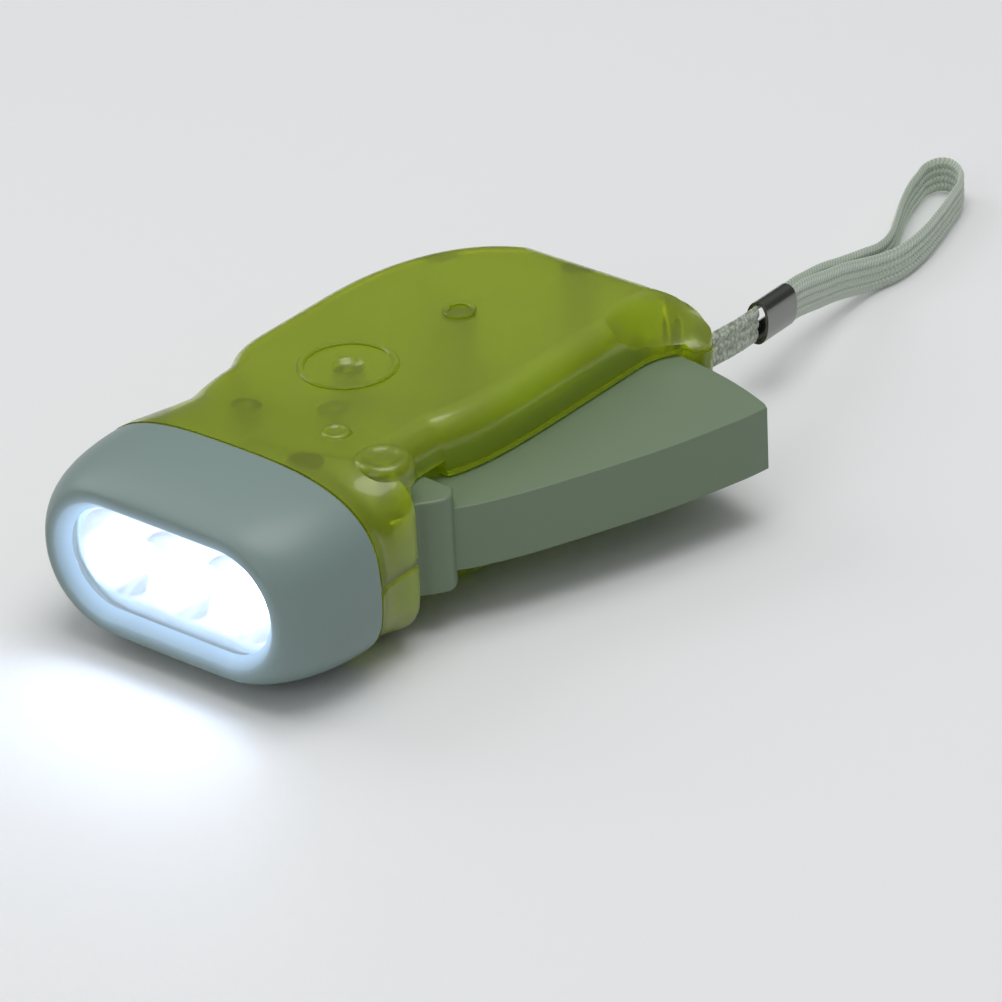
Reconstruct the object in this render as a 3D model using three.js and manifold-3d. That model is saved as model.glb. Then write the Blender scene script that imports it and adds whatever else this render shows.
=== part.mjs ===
// Squeeze-lever dynamo torch lying on its flat side, in millimetres.
// +X is the lever side, -Y the way the beam shines, +Z up; the origin lies on the flat underside,
// below the beam's centre line and one head distance behind the front rim.
import * as THREE from 'three';
import { mergeVertices } from 'three/addons/utils/BufferGeometryUtils.js';
import Module from 'manifold-3d';

const wasm = await Module();
wasm.setup();

// Overall sizes
const frontReach = 51.75;          // origin to the front rim
const headDepth = 18;              // front rim to the joint with the shells
const headHalfWidth = 28.5;
const seamHeight = 15.1;           // parting plane between the shells
const bodyHalfHeight = 15.1;
const headRise = 2;                // how far the head stands above the body's top
const wall = 1.6;
const fitGap = 0.3;                // clearance between separate pieces that sit together
const runGap = 0.08;               // radial clearance of what turns on a pin
const overrun = 5;                 // how far a cutting solid passes the surface it cuts
const sameSpot = 1e-4;             // corners nearer than this are one corner
const nearSpot = 1e-3;             // outline points nearer than this are one point
const stationGap = 1.8;            // least step between two sections of the housing
const curveSteps = 5;              // points on each curve of the housing's outline
const roundSteps = { outside: 5, inside: 3 };    // facets over the shells' rounded edges
const facets = {
  ring: 32, turned: 24, bore: 24, pin: 20, bowl: 20, post: 16, dome: 14, screwHead: 14, small: 12,
  screwShank: 8, wire: 6, springWire: 5, channel: 24, arm: 14, hub: 12, armEnd: 8, fan: 6, fanRoot: 4, claw: 3,
  bandSteps: 60, wireSteps: 10, tailSteps: 8, sleeveSteps: 4,
};
const steepest = 0.5;              // least cosine that a wall is measured square to at a corner
const edgeRadius = 5;              // rounding of the shells' long edges
const jointY = headDepth - frontReach;
const shellTop = seamHeight + bodyHalfHeight;

// How far behind the joint with the head things lie
const behind = {
  flareTo: 2.75, neckScrewRight: 4.75, neckScrewLeft: 5.35, cells: 5.75, neckRear: 10.95, pivot: 11.95,
  smallBoss: 14.35, waistFrom: 13.75, sliderStart: 16.15, notchFrom: 19.75, waistTo: 21.25, flareFrom: 21.75,
  notchTo: 26.25, gripFrom: 26.25, rotor: 32.45, gripFront: 33.75, bulge: 49.75, spineRear: 57.75,
};

// Housing outline, half widths from the beam's centre line
const waist = { left: 22.6, from: jointY + behind.waistFrom, to: jointY + behind.waistTo };
const grip = { left: 25.9, corner: 14, cornerShare: 0.67 };
const neck = { right: 27.3, rear: jointY + behind.neckRear, blend: 3 };
const notch = { right: 19.8, from: jointY + behind.notchFrom, to: jointY + behind.notchTo };
const rim = { right: 22.7, from: jointY + behind.bulge, bendShares: [0.16, 0.32] };
const tail = { corner: 6.5, depth: 6.1 };
const spine = { frontMargin: 8.25, rear: jointY + behind.spineRear };
const flare = { from: jointY + behind.flareFrom, to: jointY + behind.flareTo };
const headSection = { power: 3, hollowShare: 0.97 };    // the head's rounded section, fading into the body's

// Lever
const pivot = { x: 19.6, y: jointY + behind.pivot, pinRadius: 1.5 };
const arm = {
  top: 20.6, bottom: 9.6, wall: 1.8, plate: 1.5, reach: 66.6, edge: 0.8, inner: 15.4, endTurn: 1.2,
};
const hub = { top: 23.3, bottom: 6.9, radius: 5.2, edge: 0.6, from: 150, to: 340, reach: 10.3 };
const slotGap = 0.4;               // above, below and behind the lever
const swing = 15;                  // degrees from open to shut
const channelTurn = 105;           // degrees from +X over which the lever's channel is round
const tailReach = pivot.y + arm.reach + tail.depth;

// Hook at the tail that shelters the lever's end and holds the strap
const hook = { tipX: 27.2, tipRadius: 2, tipFlat: 1.2, root: 16, depth: 13.4, bevel: 1.4, bevelHeight: 4 };
const hookFront = tailReach - hook.depth;

// Head
const rimFace = { halfWidth: 23.5, halfHeight: 11.9 };
const mouth = { halfWidth: 22.05, halfHeight: 10.28 };
const throat = { halfWidth: 20.1, halfHeight: 8.7, depth: 2 };
const headCentreRise = 1;
const headWall = 1.8;
const headSides = 44;
const growth = { bend: 2.2, rise: 0.62 };
const growthShares = [0, 0.015, 0.06, 0.15, 0.3, 0.5, 0.75, 1];
const innerShares = [0.8, 0.5];
const lens = { thickness: 1.2, lip: 1 };
const cup = { pitch: 12.5, radius: 7.4, depth: 8.5, neck: 2.9, steps: 4 };
const reflectorWall = 1.2;
const led = { radius: 2.5, flange: 2.9, flangeDepth: 1, length: 8.2, steps: 4 };
const board = { thickness: 1.2 };
const plug = { depth: 1.6, wall: 1.2, taper: 1.2 };

// Gear train: module and teeth of each wheel
const sector = {
  module: 1, teeth: 48, cut: 3, thickness: 3.6, lead: 6.2, trail: 17.2, rim: 3.6, eye: 4.4, waist: 8,
  flank: 70, spoke: 6, spokeRoot: 7,
};
const firstPinion = { module: 1, teeth: 10 };
const firstWheel = { module: 0.8, teeth: 24, thickness: 2 };
const secondPinion = { module: 0.8, teeth: 10 };
const secondWheel = { module: 0.75, teeth: 24, thickness: 1.8 };
const rotorPinion = { module: 0.75, teeth: 10 };
const mesh = { pressure: 20, backlashShare: 0.86, tipShare: 0.88, rootShare: 1.22, extra: 0.1 };
const axleRadius = 1;
const rotorAxis = { x: -4.6, y: jointY + behind.rotor };
const firstAngle = 176.65;         // direction from the pivot to the first axle, degrees
const level = { sector: 13.3, firstPinion: 12.9, firstWheel: 17.6, secondPinion: 17.1, secondWheel: 20.9 };

// Generator
const stator = { radius: 10.3, bottom: 2.1, height: 8.4, wall: 0.8, bore: 7 };
const claws = { count: 8, innerRadius: 6.2, outerRadius: 6.9, share: 0.6 };
const coil = { inner: 7.3, outer: 9.2, height: 6.2 };
const magnet = { radius: 5.7, height: 7 };
const flywheel = { radius: 9.7, bottom: 11.3, height: 4, web: 1.4, rim: 2.6 };

// Fasteners and bosses
const screw = { shank: 1.1, head: 2.3, headHeight: 1.6, length: 15, sink: 1.8 };
const post = { radius: 2.75, axle: 2.5, slim: 1.8 };
const tailScrew = { inset: 4.5, middleShare: 0.328, leftShare: 0.675 };
const behindStator = (share) => THREE.MathUtils.lerp(rotorAxis.y + stator.radius, tailReach, share);
const screwPlaces = [
  { name: 'screw_middle', x: -1.7, y: behindStator(tailScrew.middleShare) },
  { name: 'screw_tail_left', x: -17.6, y: behindStator(tailScrew.leftShare) },
  { name: 'screw_tail_right', x: 3.5, y: tailReach - tailScrew.inset },
  { name: 'screw_neck_left', x: -20.6, y: jointY + behind.neckScrewLeft },
  { name: 'screw_neck_right', x: 10.5, y: jointY + behind.neckScrewRight },
];
const ring = { outer: 8.1, inner: 6.9, height: 0.4, dimple: 2.6, dimpleDepth: 0.5 };
const pivotBoss = { radius: 4.2, height: 0.7, dimple: 2 };
const smallBoss = { x: 8.3, y: jointY + behind.smallBoss, radius: 2.6, height: 0.4, dimple: 1.1 };

// Return spring, wound round the lower pivot post
const spring = {
  wire: 0.3, coil: 2.6, turns: 3, stepsPerTurn: 8, bottom: 3, pitch: 1.05, leg: 2.9, tang: 1.6, post: 2.1,
  start: 270, slack: 14,
};

// Switch in the waist
const slider = {
  length: 4.4, height: 4.6, proud: 1.4, stem: 2.4, stemHalf: 1.15, travel: 2.6, plate: 0.8,
  plateLength: 7, start: jointY + behind.sliderStart,
};
const switchBody = { length: 11, height: 4.8, depth: 4 };

// Cells, strap and wires
const cell = {
  radius: 4.6, thickness: 5.2, x: -14.8, y: jointY + behind.cells, z: 8.1, count: 3,
  cradle: 1, cradleHalf: 3.2, cradleShares: [0.25, 0.75],
};
const contact = { thickness: 0.4, width: 7 };
const strap = {
  width: 6.6, thickness: 1.1, pin: 0.9, pinX: 22, pinInset: 2.8, slotWidth: 3.8, slotHeight: 7.4,
};
const strapPin = { x: strap.pinX, y: tailReach - strap.pinInset };
const crimp = { width: 7.4, thickness: 4.2 };
const wireRadius = 0.5;

// Where the neck's rear corner runs round the hub into the notch, seen from the pivot
const neckCorner = [[4.5, 1.1], [1.5, 4.1], [0.4, 6.4], [0.2, 9.3]];

// Outer face of the lever's hub behind the neck, seen from the pivot
const hubEdge = [[4.6, 1.1], [6.1, 3.3], [7.5, 5.6], [7.2, 7.4], [5.8, 9.2]];

// The lever's outer edge from the hub to its tail corner: shares of the way out, and degrees from +X
const armEdgeShares = [[0, 46.6], [0.077, 49], [0.255, 54.8], [0.62, 60.9], [0.882, 64], [0.994, 65.4]];

// Routes of what is not rigid, chosen by hand: the wires, seen from the joint with the head
const wireRoutes = [
  ['wire_switch', 'red', [[-17.2, 11.75, 15], [-16.6, 7.75, 15.4], [-14.4, 2.75, 15.6], [-13.4, -0.85, 15]]],
  ['wire_coil', 'copper', [[-15.4, 32.25, 6], [-17.6, 29.75, 7], [-18.4, 26.35, 10], [-17.6, 23.65, 13.4]]],
  ['wire_cells', 'dark', [[2.8, 5.65, 8], [4, 4.15, 9], [5, 1.35, 11], [4.4, -1.25, 12.4]]],
];

// The strap, seen from the tail: the braid through the slot, the sleeve, and the band out and back
const strapTailRoute = [
  [22.4, -1.5, 15.1], [22.1, 2.1, 15.1], [22, 7.1, 14.9], [21.5, 13.1, 14.1], [20.1, 20.7, 12.9],
];
const crimpRoute = [[20.1, 21.1, 12.8], [18.7, 30.9, 11.7]];
const strapRoute = [
  [19.4, 31.3, 11.6], [18.9, 33.9, 11.3], [18, 38.1, 10.2], [17, 43.1, 8.7], [16, 50.1, 6.9],
  [15.4, 56.6, 4.9], [15.4, 61.6, 3.7], [16.2, 66.5, 3.5], [15.8, 73.3, 3.5], [14, 81.1, 3.5],
  [11.9, 88.1, 3.5], [9.6, 94.3, 3.5], [6.4, 98.1, 3.5], [3.2, 98.7, 3.5], [1.7, 96.1, 3.5],
  [2.6, 91.1, 3.5], [5, 84.1, 3.5], [8.9, 76.1, 3.5], [12, 69.6, 3.6], [13.2, 64.6, 4],
  [13.7, 59.1, 5.2], [14.4, 51.6, 7], [15.2, 44.6, 8.9], [16.3, 38.1, 10.3], [17.3, 33.9, 11.3],
  [17.8, 31.3, 11.6],
];

// Colours
const looks = {
  shell: { color: 0xb9cc1c, roughness: 0.2, metalness: 0 },
  grey: { color: 0x9aa596, roughness: 0.55, metalness: 0 },
  clear: { color: 0xe8eef2, roughness: 0.08, metalness: 0 },
  chrome: { color: 0xd8dce0, roughness: 0.08, metalness: 1 },
  steel: { color: 0xa9acae, roughness: 0.3, metalness: 1 },
  white: { color: 0xe2e0d6, roughness: 0.5, metalness: 0 },
  dark: { color: 0x2c2e30, roughness: 0.6, metalness: 0 },
  board: { color: 0x1f5a34, roughness: 0.5, metalness: 0 },
  copper: { color: 0xb0603a, roughness: 0.35, metalness: 1 },
  red: { color: 0x9c2b22, roughness: 0.5, metalness: 0 },
  braid: { color: 0xd0d2cc, roughness: 0.9, metalness: 0 },
};

const torch = new THREE.Group();

function addPiece(name, shape, look) {
  const geometry = shape.isBufferGeometry ? shape : geometryOf(shape);
  geometry.computeVertexNormals();
  const piece = new THREE.Mesh(geometry, new THREE.MeshStandardMaterial(looks[look]));
  piece.name = name;
  torch.add(piece);
  return piece;
}

function solidOf(geometry) {
  const bare = geometry.clone();
  bare.deleteAttribute('normal');
  bare.deleteAttribute('uv');
  const merged = mergeVertices(bare, sameSpot);
  const index = merged.index.array;
  const triangles = [];
  for (let i = 0; i < index.length; i += 3) {
    const [a, b, c] = [index[i], index[i + 1], index[i + 2]];
    if (a !== b && b !== c && c !== a) triangles.push(a, b, c);
  }
  return new wasm.Manifold(new wasm.Mesh({
    numProp: 3,
    vertProperties: new Float32Array(merged.attributes.position.array),
    triVerts: new Uint32Array(triangles),
  }));
}

function geometryOf(solid) {
  const data = solid.getMesh();
  const geometry = new THREE.BufferGeometry();
  geometry.setAttribute('position', new THREE.BufferAttribute(new Float32Array(data.vertProperties), 3));
  geometry.setIndex(new THREE.BufferAttribute(new Uint32Array(data.triVerts), 1));
  return geometry;
}

function join(...solids) {
  return solids.reduce((whole, next) => whole.add(next));
}

function cut(body, ...tools) {
  return tools.reduce((rest, tool) => rest.subtract(tool), body);
}

// A flat outline raised from one height to another, its long edges rounded where edge is given
function prismGeometry(shape, bottom, top, edge = 0, steps = curveSteps, edgeHeight = edge) {
  const outline = dropStraight(dropRepeats(shape.getPoints(steps)));
  const geometry = new THREE.ExtrudeGeometry(new THREE.Shape(outline), {
    depth: top - bottom - 2 * edgeHeight,
    bevelEnabled: edge > 0,
    bevelSize: edge,
    bevelThickness: edgeHeight,
    bevelOffset: -edge,
    bevelSegments: 2,
  });
  geometry.translate(0, 0, bottom + edgeHeight);
  return geometry;
}

function prism(...values) {
  return solidOf(prismGeometry(...values));
}

function box(x0, x1, y0, y1, z0, z1) {
  const geometry = new THREE.BoxGeometry(x1 - x0, y1 - y0, z1 - z0);
  geometry.translate((x0 + x1) / 2, (y0 + y1) / 2, (z0 + z1) / 2);
  return solidOf(geometry);
}

function rod(x, y, radius, bottom, top, sides = facets.pin) {
  const geometry = new THREE.CylinderGeometry(radius, radius, top - bottom, sides);
  geometry.rotateX(Math.PI / 2);
  geometry.translate(x, y, (bottom + top) / 2);
  return solidOf(geometry);
}

// A profile of [radius, height] pairs turned about an upright axis; it starts and ends on the axis,
// or closes on itself
function turned(x, y, profile, sides = facets.turned) {
  const points = profile.map(([radius, height]) => new THREE.Vector2(radius, height));
  const geometry = new THREE.LatheGeometry(points, sides);
  geometry.rotateX(Math.PI / 2);
  geometry.translate(x, y, 0);
  return upright(geometry);
}

// Turning about Y and tipping the result up can leave the faces pointing in
function upright(geometry) {
  const solid = solidOf(geometry);
  if (solid.volume() > 0) return solid;
  const index = geometry.index.array;
  for (let i = 0; i < index.length; i += 3) [index[i], index[i + 1]] = [index[i + 1], index[i]];
  return solidOf(geometry);
}

function polygon(points) {
  return new THREE.Shape(points.map(([x, y]) => new THREE.Vector2(x, y)));
}

const radians = THREE.MathUtils.degToRad;

function polar(centre, radius, degrees) {
  return [centre.x + radius * Math.cos(radians(degrees)), centre.y + radius * Math.sin(radians(degrees))];
}

function arcPoints(centre, radius, from, to, steps) {
  return Array.from({ length: steps + 1 }, (_, i) => polar(centre, radius, from + (to - from) * i / steps));
}

// A skin of quads through rings of equal length; the first and last ring are drawn together to points
function skin(rings) {
  const count = rings[0].length;
  const index = [];
  for (let r = 0; r + 1 < rings.length; r += 1) {
    for (let i = 0; i < count; i += 1) {
      const a = r * count + i;
      const b = r * count + (i + 1) % count;
      index.push(a, b, b + count, a, b + count, a + count);
    }
  }
  return upright(indexed(rings, index));
}

function indexed(rings, index) {
  const geometry = new THREE.BufferGeometry();
  const positions = rings.flat().flatMap((p) => [p.x, p.y, p.z]);
  geometry.setAttribute('position', new THREE.Float32BufferAttribute(positions, 3));
  geometry.setIndex(index);
  return geometry;
}

// The ring shrunk to its middle, which closes the end of a skin
function closing(ring) {
  const middle = ring.reduce((sum, p) => sum.add(p), new THREE.Vector3()).divideScalar(ring.length);
  return ring.map(() => middle);
}

// A ring-shaped skin: the rings run out of one end, back through the other and close on the first
function hoop(rings) {
  const count = rings[0].length;
  const index = [];
  for (let r = 0; r < rings.length; r += 1) {
    const next = (r + 1) % rings.length;
    for (let i = 0; i < count; i += 1) {
      const j = (i + 1) % count;
      const [a, b, c, d] = [r * count + i, r * count + j, next * count + j, next * count + i];
      index.push(a, b, c, a, c, d);
    }
  }
  return upright(indexed(rings, index));
}

function fromPivot(offsets) {
  return offsets.map(([x, y]) => [pivot.x + x, pivot.y + y]);
}

// Housing: the plan outline at the seam, drawn anticlockwise from the front right
function housingOutline(inset) {
  const outline = new THREE.Path();
  const front = jointY - overrun;
  const roundRadius = tail.corner;
  outline.moveTo(headHalfWidth, front);
  outline.lineTo(headHalfWidth, jointY);
  outline.lineTo(neck.right, jointY + neck.blend);
  outline.lineTo(neck.right, neck.rear - wall);
  outline.quadraticCurveTo(neck.right, neck.rear, neck.right - wall, neck.rear);
  outline.splineThru(fromPivot(neckCorner).map(([x, y]) => new THREE.Vector2(x, y)));
  outline.lineTo(notch.right, notch.to);
  const [bendOne, bendTwo] = rim.bendShares.map((share) => THREE.MathUtils.lerp(notch.to, rim.from, share));
  outline.bezierCurveTo(notch.right + wall, bendOne, rim.right, bendTwo, rim.right, rim.from);
  outline.lineTo(rim.right, tailReach - 2 * roundRadius);
  outline.lineTo(rim.right, tailReach - roundRadius);
  outline.quadraticCurveTo(rim.right, tailReach, rim.right - roundRadius, tailReach);
  outline.lineTo(0, tailReach);
  const bulge = jointY + behind.bulge;
  const cornerY = THREE.MathUtils.lerp(bulge, tailReach, grip.cornerShare);
  outline.bezierCurveTo(-grip.corner, tailReach, -grip.left, cornerY, -grip.left, bulge);
  outline.lineTo(-grip.left, jointY + behind.gripFront);
  const gripFrom = jointY + behind.gripFrom;
  outline.bezierCurveTo(-grip.left, gripFrom, -waist.left, gripFrom, -waist.left, waist.to);
  outline.lineTo(-waist.left, waist.from);
  outline.bezierCurveTo(-waist.left, waist.from - 2 * wall, -headHalfWidth, jointY + 2 * neck.blend,
    -headHalfWidth, jointY);
  outline.lineTo(-headHalfWidth, front);
  return insetOutline(dropRepeats(outline.getPoints(curveSteps)), inset);
}

// The outline with the same stations along the spine on its left as on its right
function pairedOutline(inset) {
  const points = housingOutline(inset);
  const places = housingOutline(0).map((p) => p.y).filter((y) => y < spine.rear);
  places.sort((one, two) => one - two);
  const stations = [places[0]];
  for (const y of places) if (y - stations[stations.length - 1] > stationGap) stations.push(y);
  const right = stations.map((y) => new THREE.Vector2(crossing(points, y, 1), y));
  const left = stations.map((y) => new THREE.Vector2(crossing(points, y, -1), y)).reverse();
  return [...right, ...points.filter((p) => p.y > spine.rear), ...left];
}

// Where the outline passes a station on one side, taking the pass nearest to the spine
function crossing(points, y, side) {
  const passes = [];
  for (let i = 0; i + 1 < points.length; i += 1) {
    const [one, two] = [points[i], points[i + 1]];
    const share = (y - one.y) / (two.y - one.y);
    if (one.x * side > 0 && two.x * side > 0 && share >= 0 && share <= 1) {
      passes.push(THREE.MathUtils.lerp(one.x, two.x, share));
    }
  }
  if (passes.length === 0) return points[side > 0 ? 0 : points.length - 1].x;
  return side * Math.min(...passes.map((x) => Math.abs(x)));
}

function dropRepeats(points) {
  return points.filter((p, i) => p.distanceTo(points[(i + 1) % points.length]) > nearSpot);
}

// A point on the straight line between its neighbours would be left out of the flat ends alone
function dropStraight(points) {
  return points.filter((p, i) => {
    const before = points[(i + points.length - 1) % points.length];
    const after = points[(i + 1) % points.length];
    return Math.abs(p.clone().sub(before).cross(after.clone().sub(p))) > sameSpot * nearSpot;
  });
}

// The outline moved inwards by a wall, square to each of its corners, less the corners that would fold back
function insetOutline(points, inset) {
  const after = (list, i) => list[(i + 1) % list.length];
  const moved = insetCorners(points, inset);
  return moved.filter((p, i) => {
    const edge = after(points, i).clone().sub(points[i]);
    return after(moved, i).clone().sub(p).dot(edge) > 0;
  });
}

function insetCorners(points, inset) {
  return points.map((p, i) => {
    const before = points[(i + points.length - 1) % points.length];
    const after = points[(i + 1) % points.length];
    const one = new THREE.Vector2(p.y - before.y, before.x - p.x).normalize();
    const two = new THREE.Vector2(after.y - p.y, p.x - after.x).normalize();
    const mid = one.clone().add(two).normalize();
    return p.clone().addScaledVector(mid, -inset / Math.max(mid.dot(one), steepest));
  });
}

function fade(value, from, to) {
  return THREE.MathUtils.smoothstep(value, Math.min(from, to), Math.max(from, to));
}

// One half of the housing as a filled pillow on the seam plane; side is 1 above and -1 below
function pillow(side, inset, steps) {
  const outline = pairedOutline(inset);
  const angles = [0, ...Array.from({ length: steps + 1 }, (_, k) => Math.PI / 2 * k / steps)];
  const rings = angles.map((angle, k) => outline.map((p) => shellPoint(p, angle, k === 0, side, inset)));
  const top = rings[angles.length - 1];
  const onSpine = (p) => {
    const centre = spinePoint(p);
    return new THREE.Vector3(centre.x, centre.y, p.z);
  };
  return skin([rings[0].map(onSpine), ...rings, top.map(onSpine)]);
}

function spinePoint(p) {
  return new THREE.Vector2(0, THREE.MathUtils.clamp(p.y, -frontReach - spine.frontMargin, spine.rear));
}

function shellPoint(p, angle, atSeam, side, inset) {
  const round = 1 - fade(p.y, flare.to, flare.from);
  const lift = side > 0 ? headRise * (1 - fade(p.y, jointY, flare.from)) : 0;
  const height = bodyHalfHeight + lift - inset;
  const centre = spinePoint(p);
  const across = centre.distanceTo(new THREE.Vector2(p.x, p.y));
  const radius = edgeRadius - inset / 2;
  if (atSeam && inset > 0) return new THREE.Vector3(p.x, p.y, seamHeight - side * overrun);
  const soft = 2 / headSection.power;
  const headIn = across * headSection.hollowShare * (1 - Math.cos(angle) ** soft);
  const headUp = height * Math.sin(angle) ** soft;
  const bodyIn = radius * (1 - Math.cos(angle));
  const bodyUp = atSeam ? 0 : height - radius + radius * Math.sin(angle);
  const inward = THREE.MathUtils.lerp(bodyIn, headIn, round) / across;
  const up = THREE.MathUtils.lerp(bodyUp, headUp, round);
  return new THREE.Vector3(
    p.x + (centre.x - p.x) * inward,
    p.y + (centre.y - p.y) * inward,
    seamHeight + side * up,
  );
}

function pivotPoint(radius, turn) {
  return new THREE.Vector2(pivot.x + radius * Math.cos(turn), pivot.y + radius * Math.sin(turn));
}

// Plan of the tail hook: a concave lead-in, a front face round the pivot and a round tip
function hookShape(inset) {
  const shape = new THREE.Shape();
  const tipRadius = hook.tipRadius - inset;
  const back = tailReach - inset;
  const frontRadius = arm.reach + slotGap + fitGap + inset;
  shape.moveTo(hook.root, back);
  shape.lineTo(hook.root, hookFront);
  shape.lineTo(rim.right - inset, hookFront);
  const frontY = (x) => pivot.y + Math.sqrt(frontRadius ** 2 - (x - pivot.x) ** 2);
  const flatX = hook.tipX - hook.tipFlat;
  shape.quadraticCurveTo(rim.right - inset, frontY(flatX) - 2 * wall, flatX, frontY(flatX));
  shape.lineTo(hook.tipX, frontY(hook.tipX));
  // the round tip touches the front face and the straight back without a corner
  const tipTurn = Math.acos((hook.tipX - pivot.x) / frontRadius);
  const centre = pivotPoint(frontRadius + tipRadius, tipTurn);
  const end = new THREE.Vector2(rim.right - tail.corner / 2, back);
  const toEnd = end.clone().sub(centre);
  const leave = toEnd.angle() - Math.acos(tipRadius / toEnd.length());
  shape.absarc(centre.x, centre.y, tipRadius, tipTurn - Math.PI, leave, false);
  shape.lineTo(end.x, end.y);
  return shape;
}

function hookBlock(side, inset) {
  const far = seamHeight + side * (bodyHalfHeight - inset);
  const near = seamHeight - side * overrun;
  const shape = hookShape(inset);
  const edge = hook.bevel - inset;
  const [bottom, top] = [Math.min(near, far), Math.max(near, far)];
  if (edge <= 0) return prism(shape, bottom, top);
  const block = prism(shape, bottom, top, edge, curveSteps + 1, hook.bevelHeight);
  return inset > 0 ? block : cut(block, halfSpace(-side, seamHeight));
}

// Everything above (side 1) or below (side -1) a height, as far as the model reaches
function halfSpace(side, height) {
  const reach = 4 * frontReach;
  const far = height + side * reach;
  return box(-reach, reach, -reach, reach, Math.min(height, far), Math.max(height, far));
}

function halfHousing(side) {
  const outer = join(pillow(side, 0, roundSteps.outside), hookBlock(side, 0));
  const inner = join(pillow(side, wall, roundSteps.inside), hookBlock(side, wall));
  const front = box(-headHalfWidth * 2, headHalfWidth * 2, -2 * frontReach, jointY + fitGap, -overrun,
    shellTop + headRise + overrun);
  return { outer, shell: cut(outer, inner, front) };
}

// Where the lever swings, seen from above
function channelShape(left) {
  const radius = arm.reach + slotGap;
  const sweep = arcPoints(pivot, radius, 0, channelTurn, facets.channel);
  return polygon([[left, neck.rear + fitGap], ...sweep, [left, hookFront]]);
}

function leverChannel() {
  const armSlot = prism(channelShape(notch.right / 2), arm.bottom - slotGap, arm.top + slotGap);
  const [bottom, top] = [hub.bottom - slotGap, hub.top + slotGap];
  const hubLeft = pivot.x - hub.radius - slotGap;
  const hubSlot = box(hubLeft, pivot.x + arm.reach, neck.rear, notch.to, bottom, top);
  const mouthSlot = box(hubLeft, neck.right - wall, pivot.y - hub.radius - slotGap, notch.to, bottom, top);
  return join(armSlot, hubSlot, mouthSlot);
}

const gearPlaces = placeGears();

// The first axle lies at a set angle from the pivot; the second meshes with it and with the rotor
function placeGears() {
  const pitch = (one, two) => one.module * (one.teeth + two.teeth) / 2 + mesh.extra;
  const [firstX, firstY] = polar(pivot, pitch(sector, firstPinion), firstAngle);
  const toRotor = new THREE.Vector2(rotorAxis.x - firstX, rotorAxis.y - firstY);
  const span = toRotor.length();
  const one = pitch(firstWheel, secondPinion);
  const two = pitch(secondWheel, rotorPinion);
  const along = (span ** 2 + one ** 2 - two ** 2) / (2 * span);
  const aside = Math.sqrt(one ** 2 - along ** 2);
  toRotor.normalize();
  return {
    first: { x: firstX, y: firstY },
    second: {
      x: firstX + toRotor.x * along + toRotor.y * aside,
      y: firstY + toRotor.y * along - toRotor.x * aside,
    },
  };
}

function directionTo(from, to) {
  return THREE.MathUtils.radToDeg(Math.atan2(to.y - from.y, to.x - from.x));
}

// Half the angle that a tooth takes up at a radius, in degrees, with involute flanks
function toothHalfAngle(gear, radius) {
  const involute = (angle) => Math.tan(angle) - angle;
  const pressure = radians(mesh.pressure);
  const pitchRadius = gear.module * gear.teeth / 2;
  const base = pitchRadius * Math.cos(pressure);
  const here = Math.acos(Math.min(1, base / radius));
  const half = Math.PI / (2 * gear.teeth) * mesh.backlashShare + involute(pressure) - involute(here);
  return THREE.MathUtils.radToDeg(half);
}

function toothPoints(gear, centre, angle) {
  const pitchRadius = gear.module * gear.teeth / 2;
  const root = pitchRadius - gear.module * mesh.rootShare;
  const tip = pitchRadius + gear.module * mesh.tipShare;
  const steps = [root, pitchRadius, tip].map((radius) => [radius, toothHalfAngle(gear, radius)]);
  const rising = steps.map(([radius, half]) => polar(centre, radius, angle - half));
  const falling = steps.reverse().map(([radius, half]) => polar(centre, radius, angle + half));
  return [...rising, ...falling];
}

// A whole gear with one tooth, or one gap, pointing at an angle
function gearShape(gear, centre, angle, gapThere = false) {
  const step = 360 / gear.teeth;
  const start = angle + (gapThere ? step / 2 : 0);
  const teeth = Array.from({ length: gear.teeth }, (_, i) => toothPoints(gear, centre, start + i * step));
  return polygon(teeth.flat());
}

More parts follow.
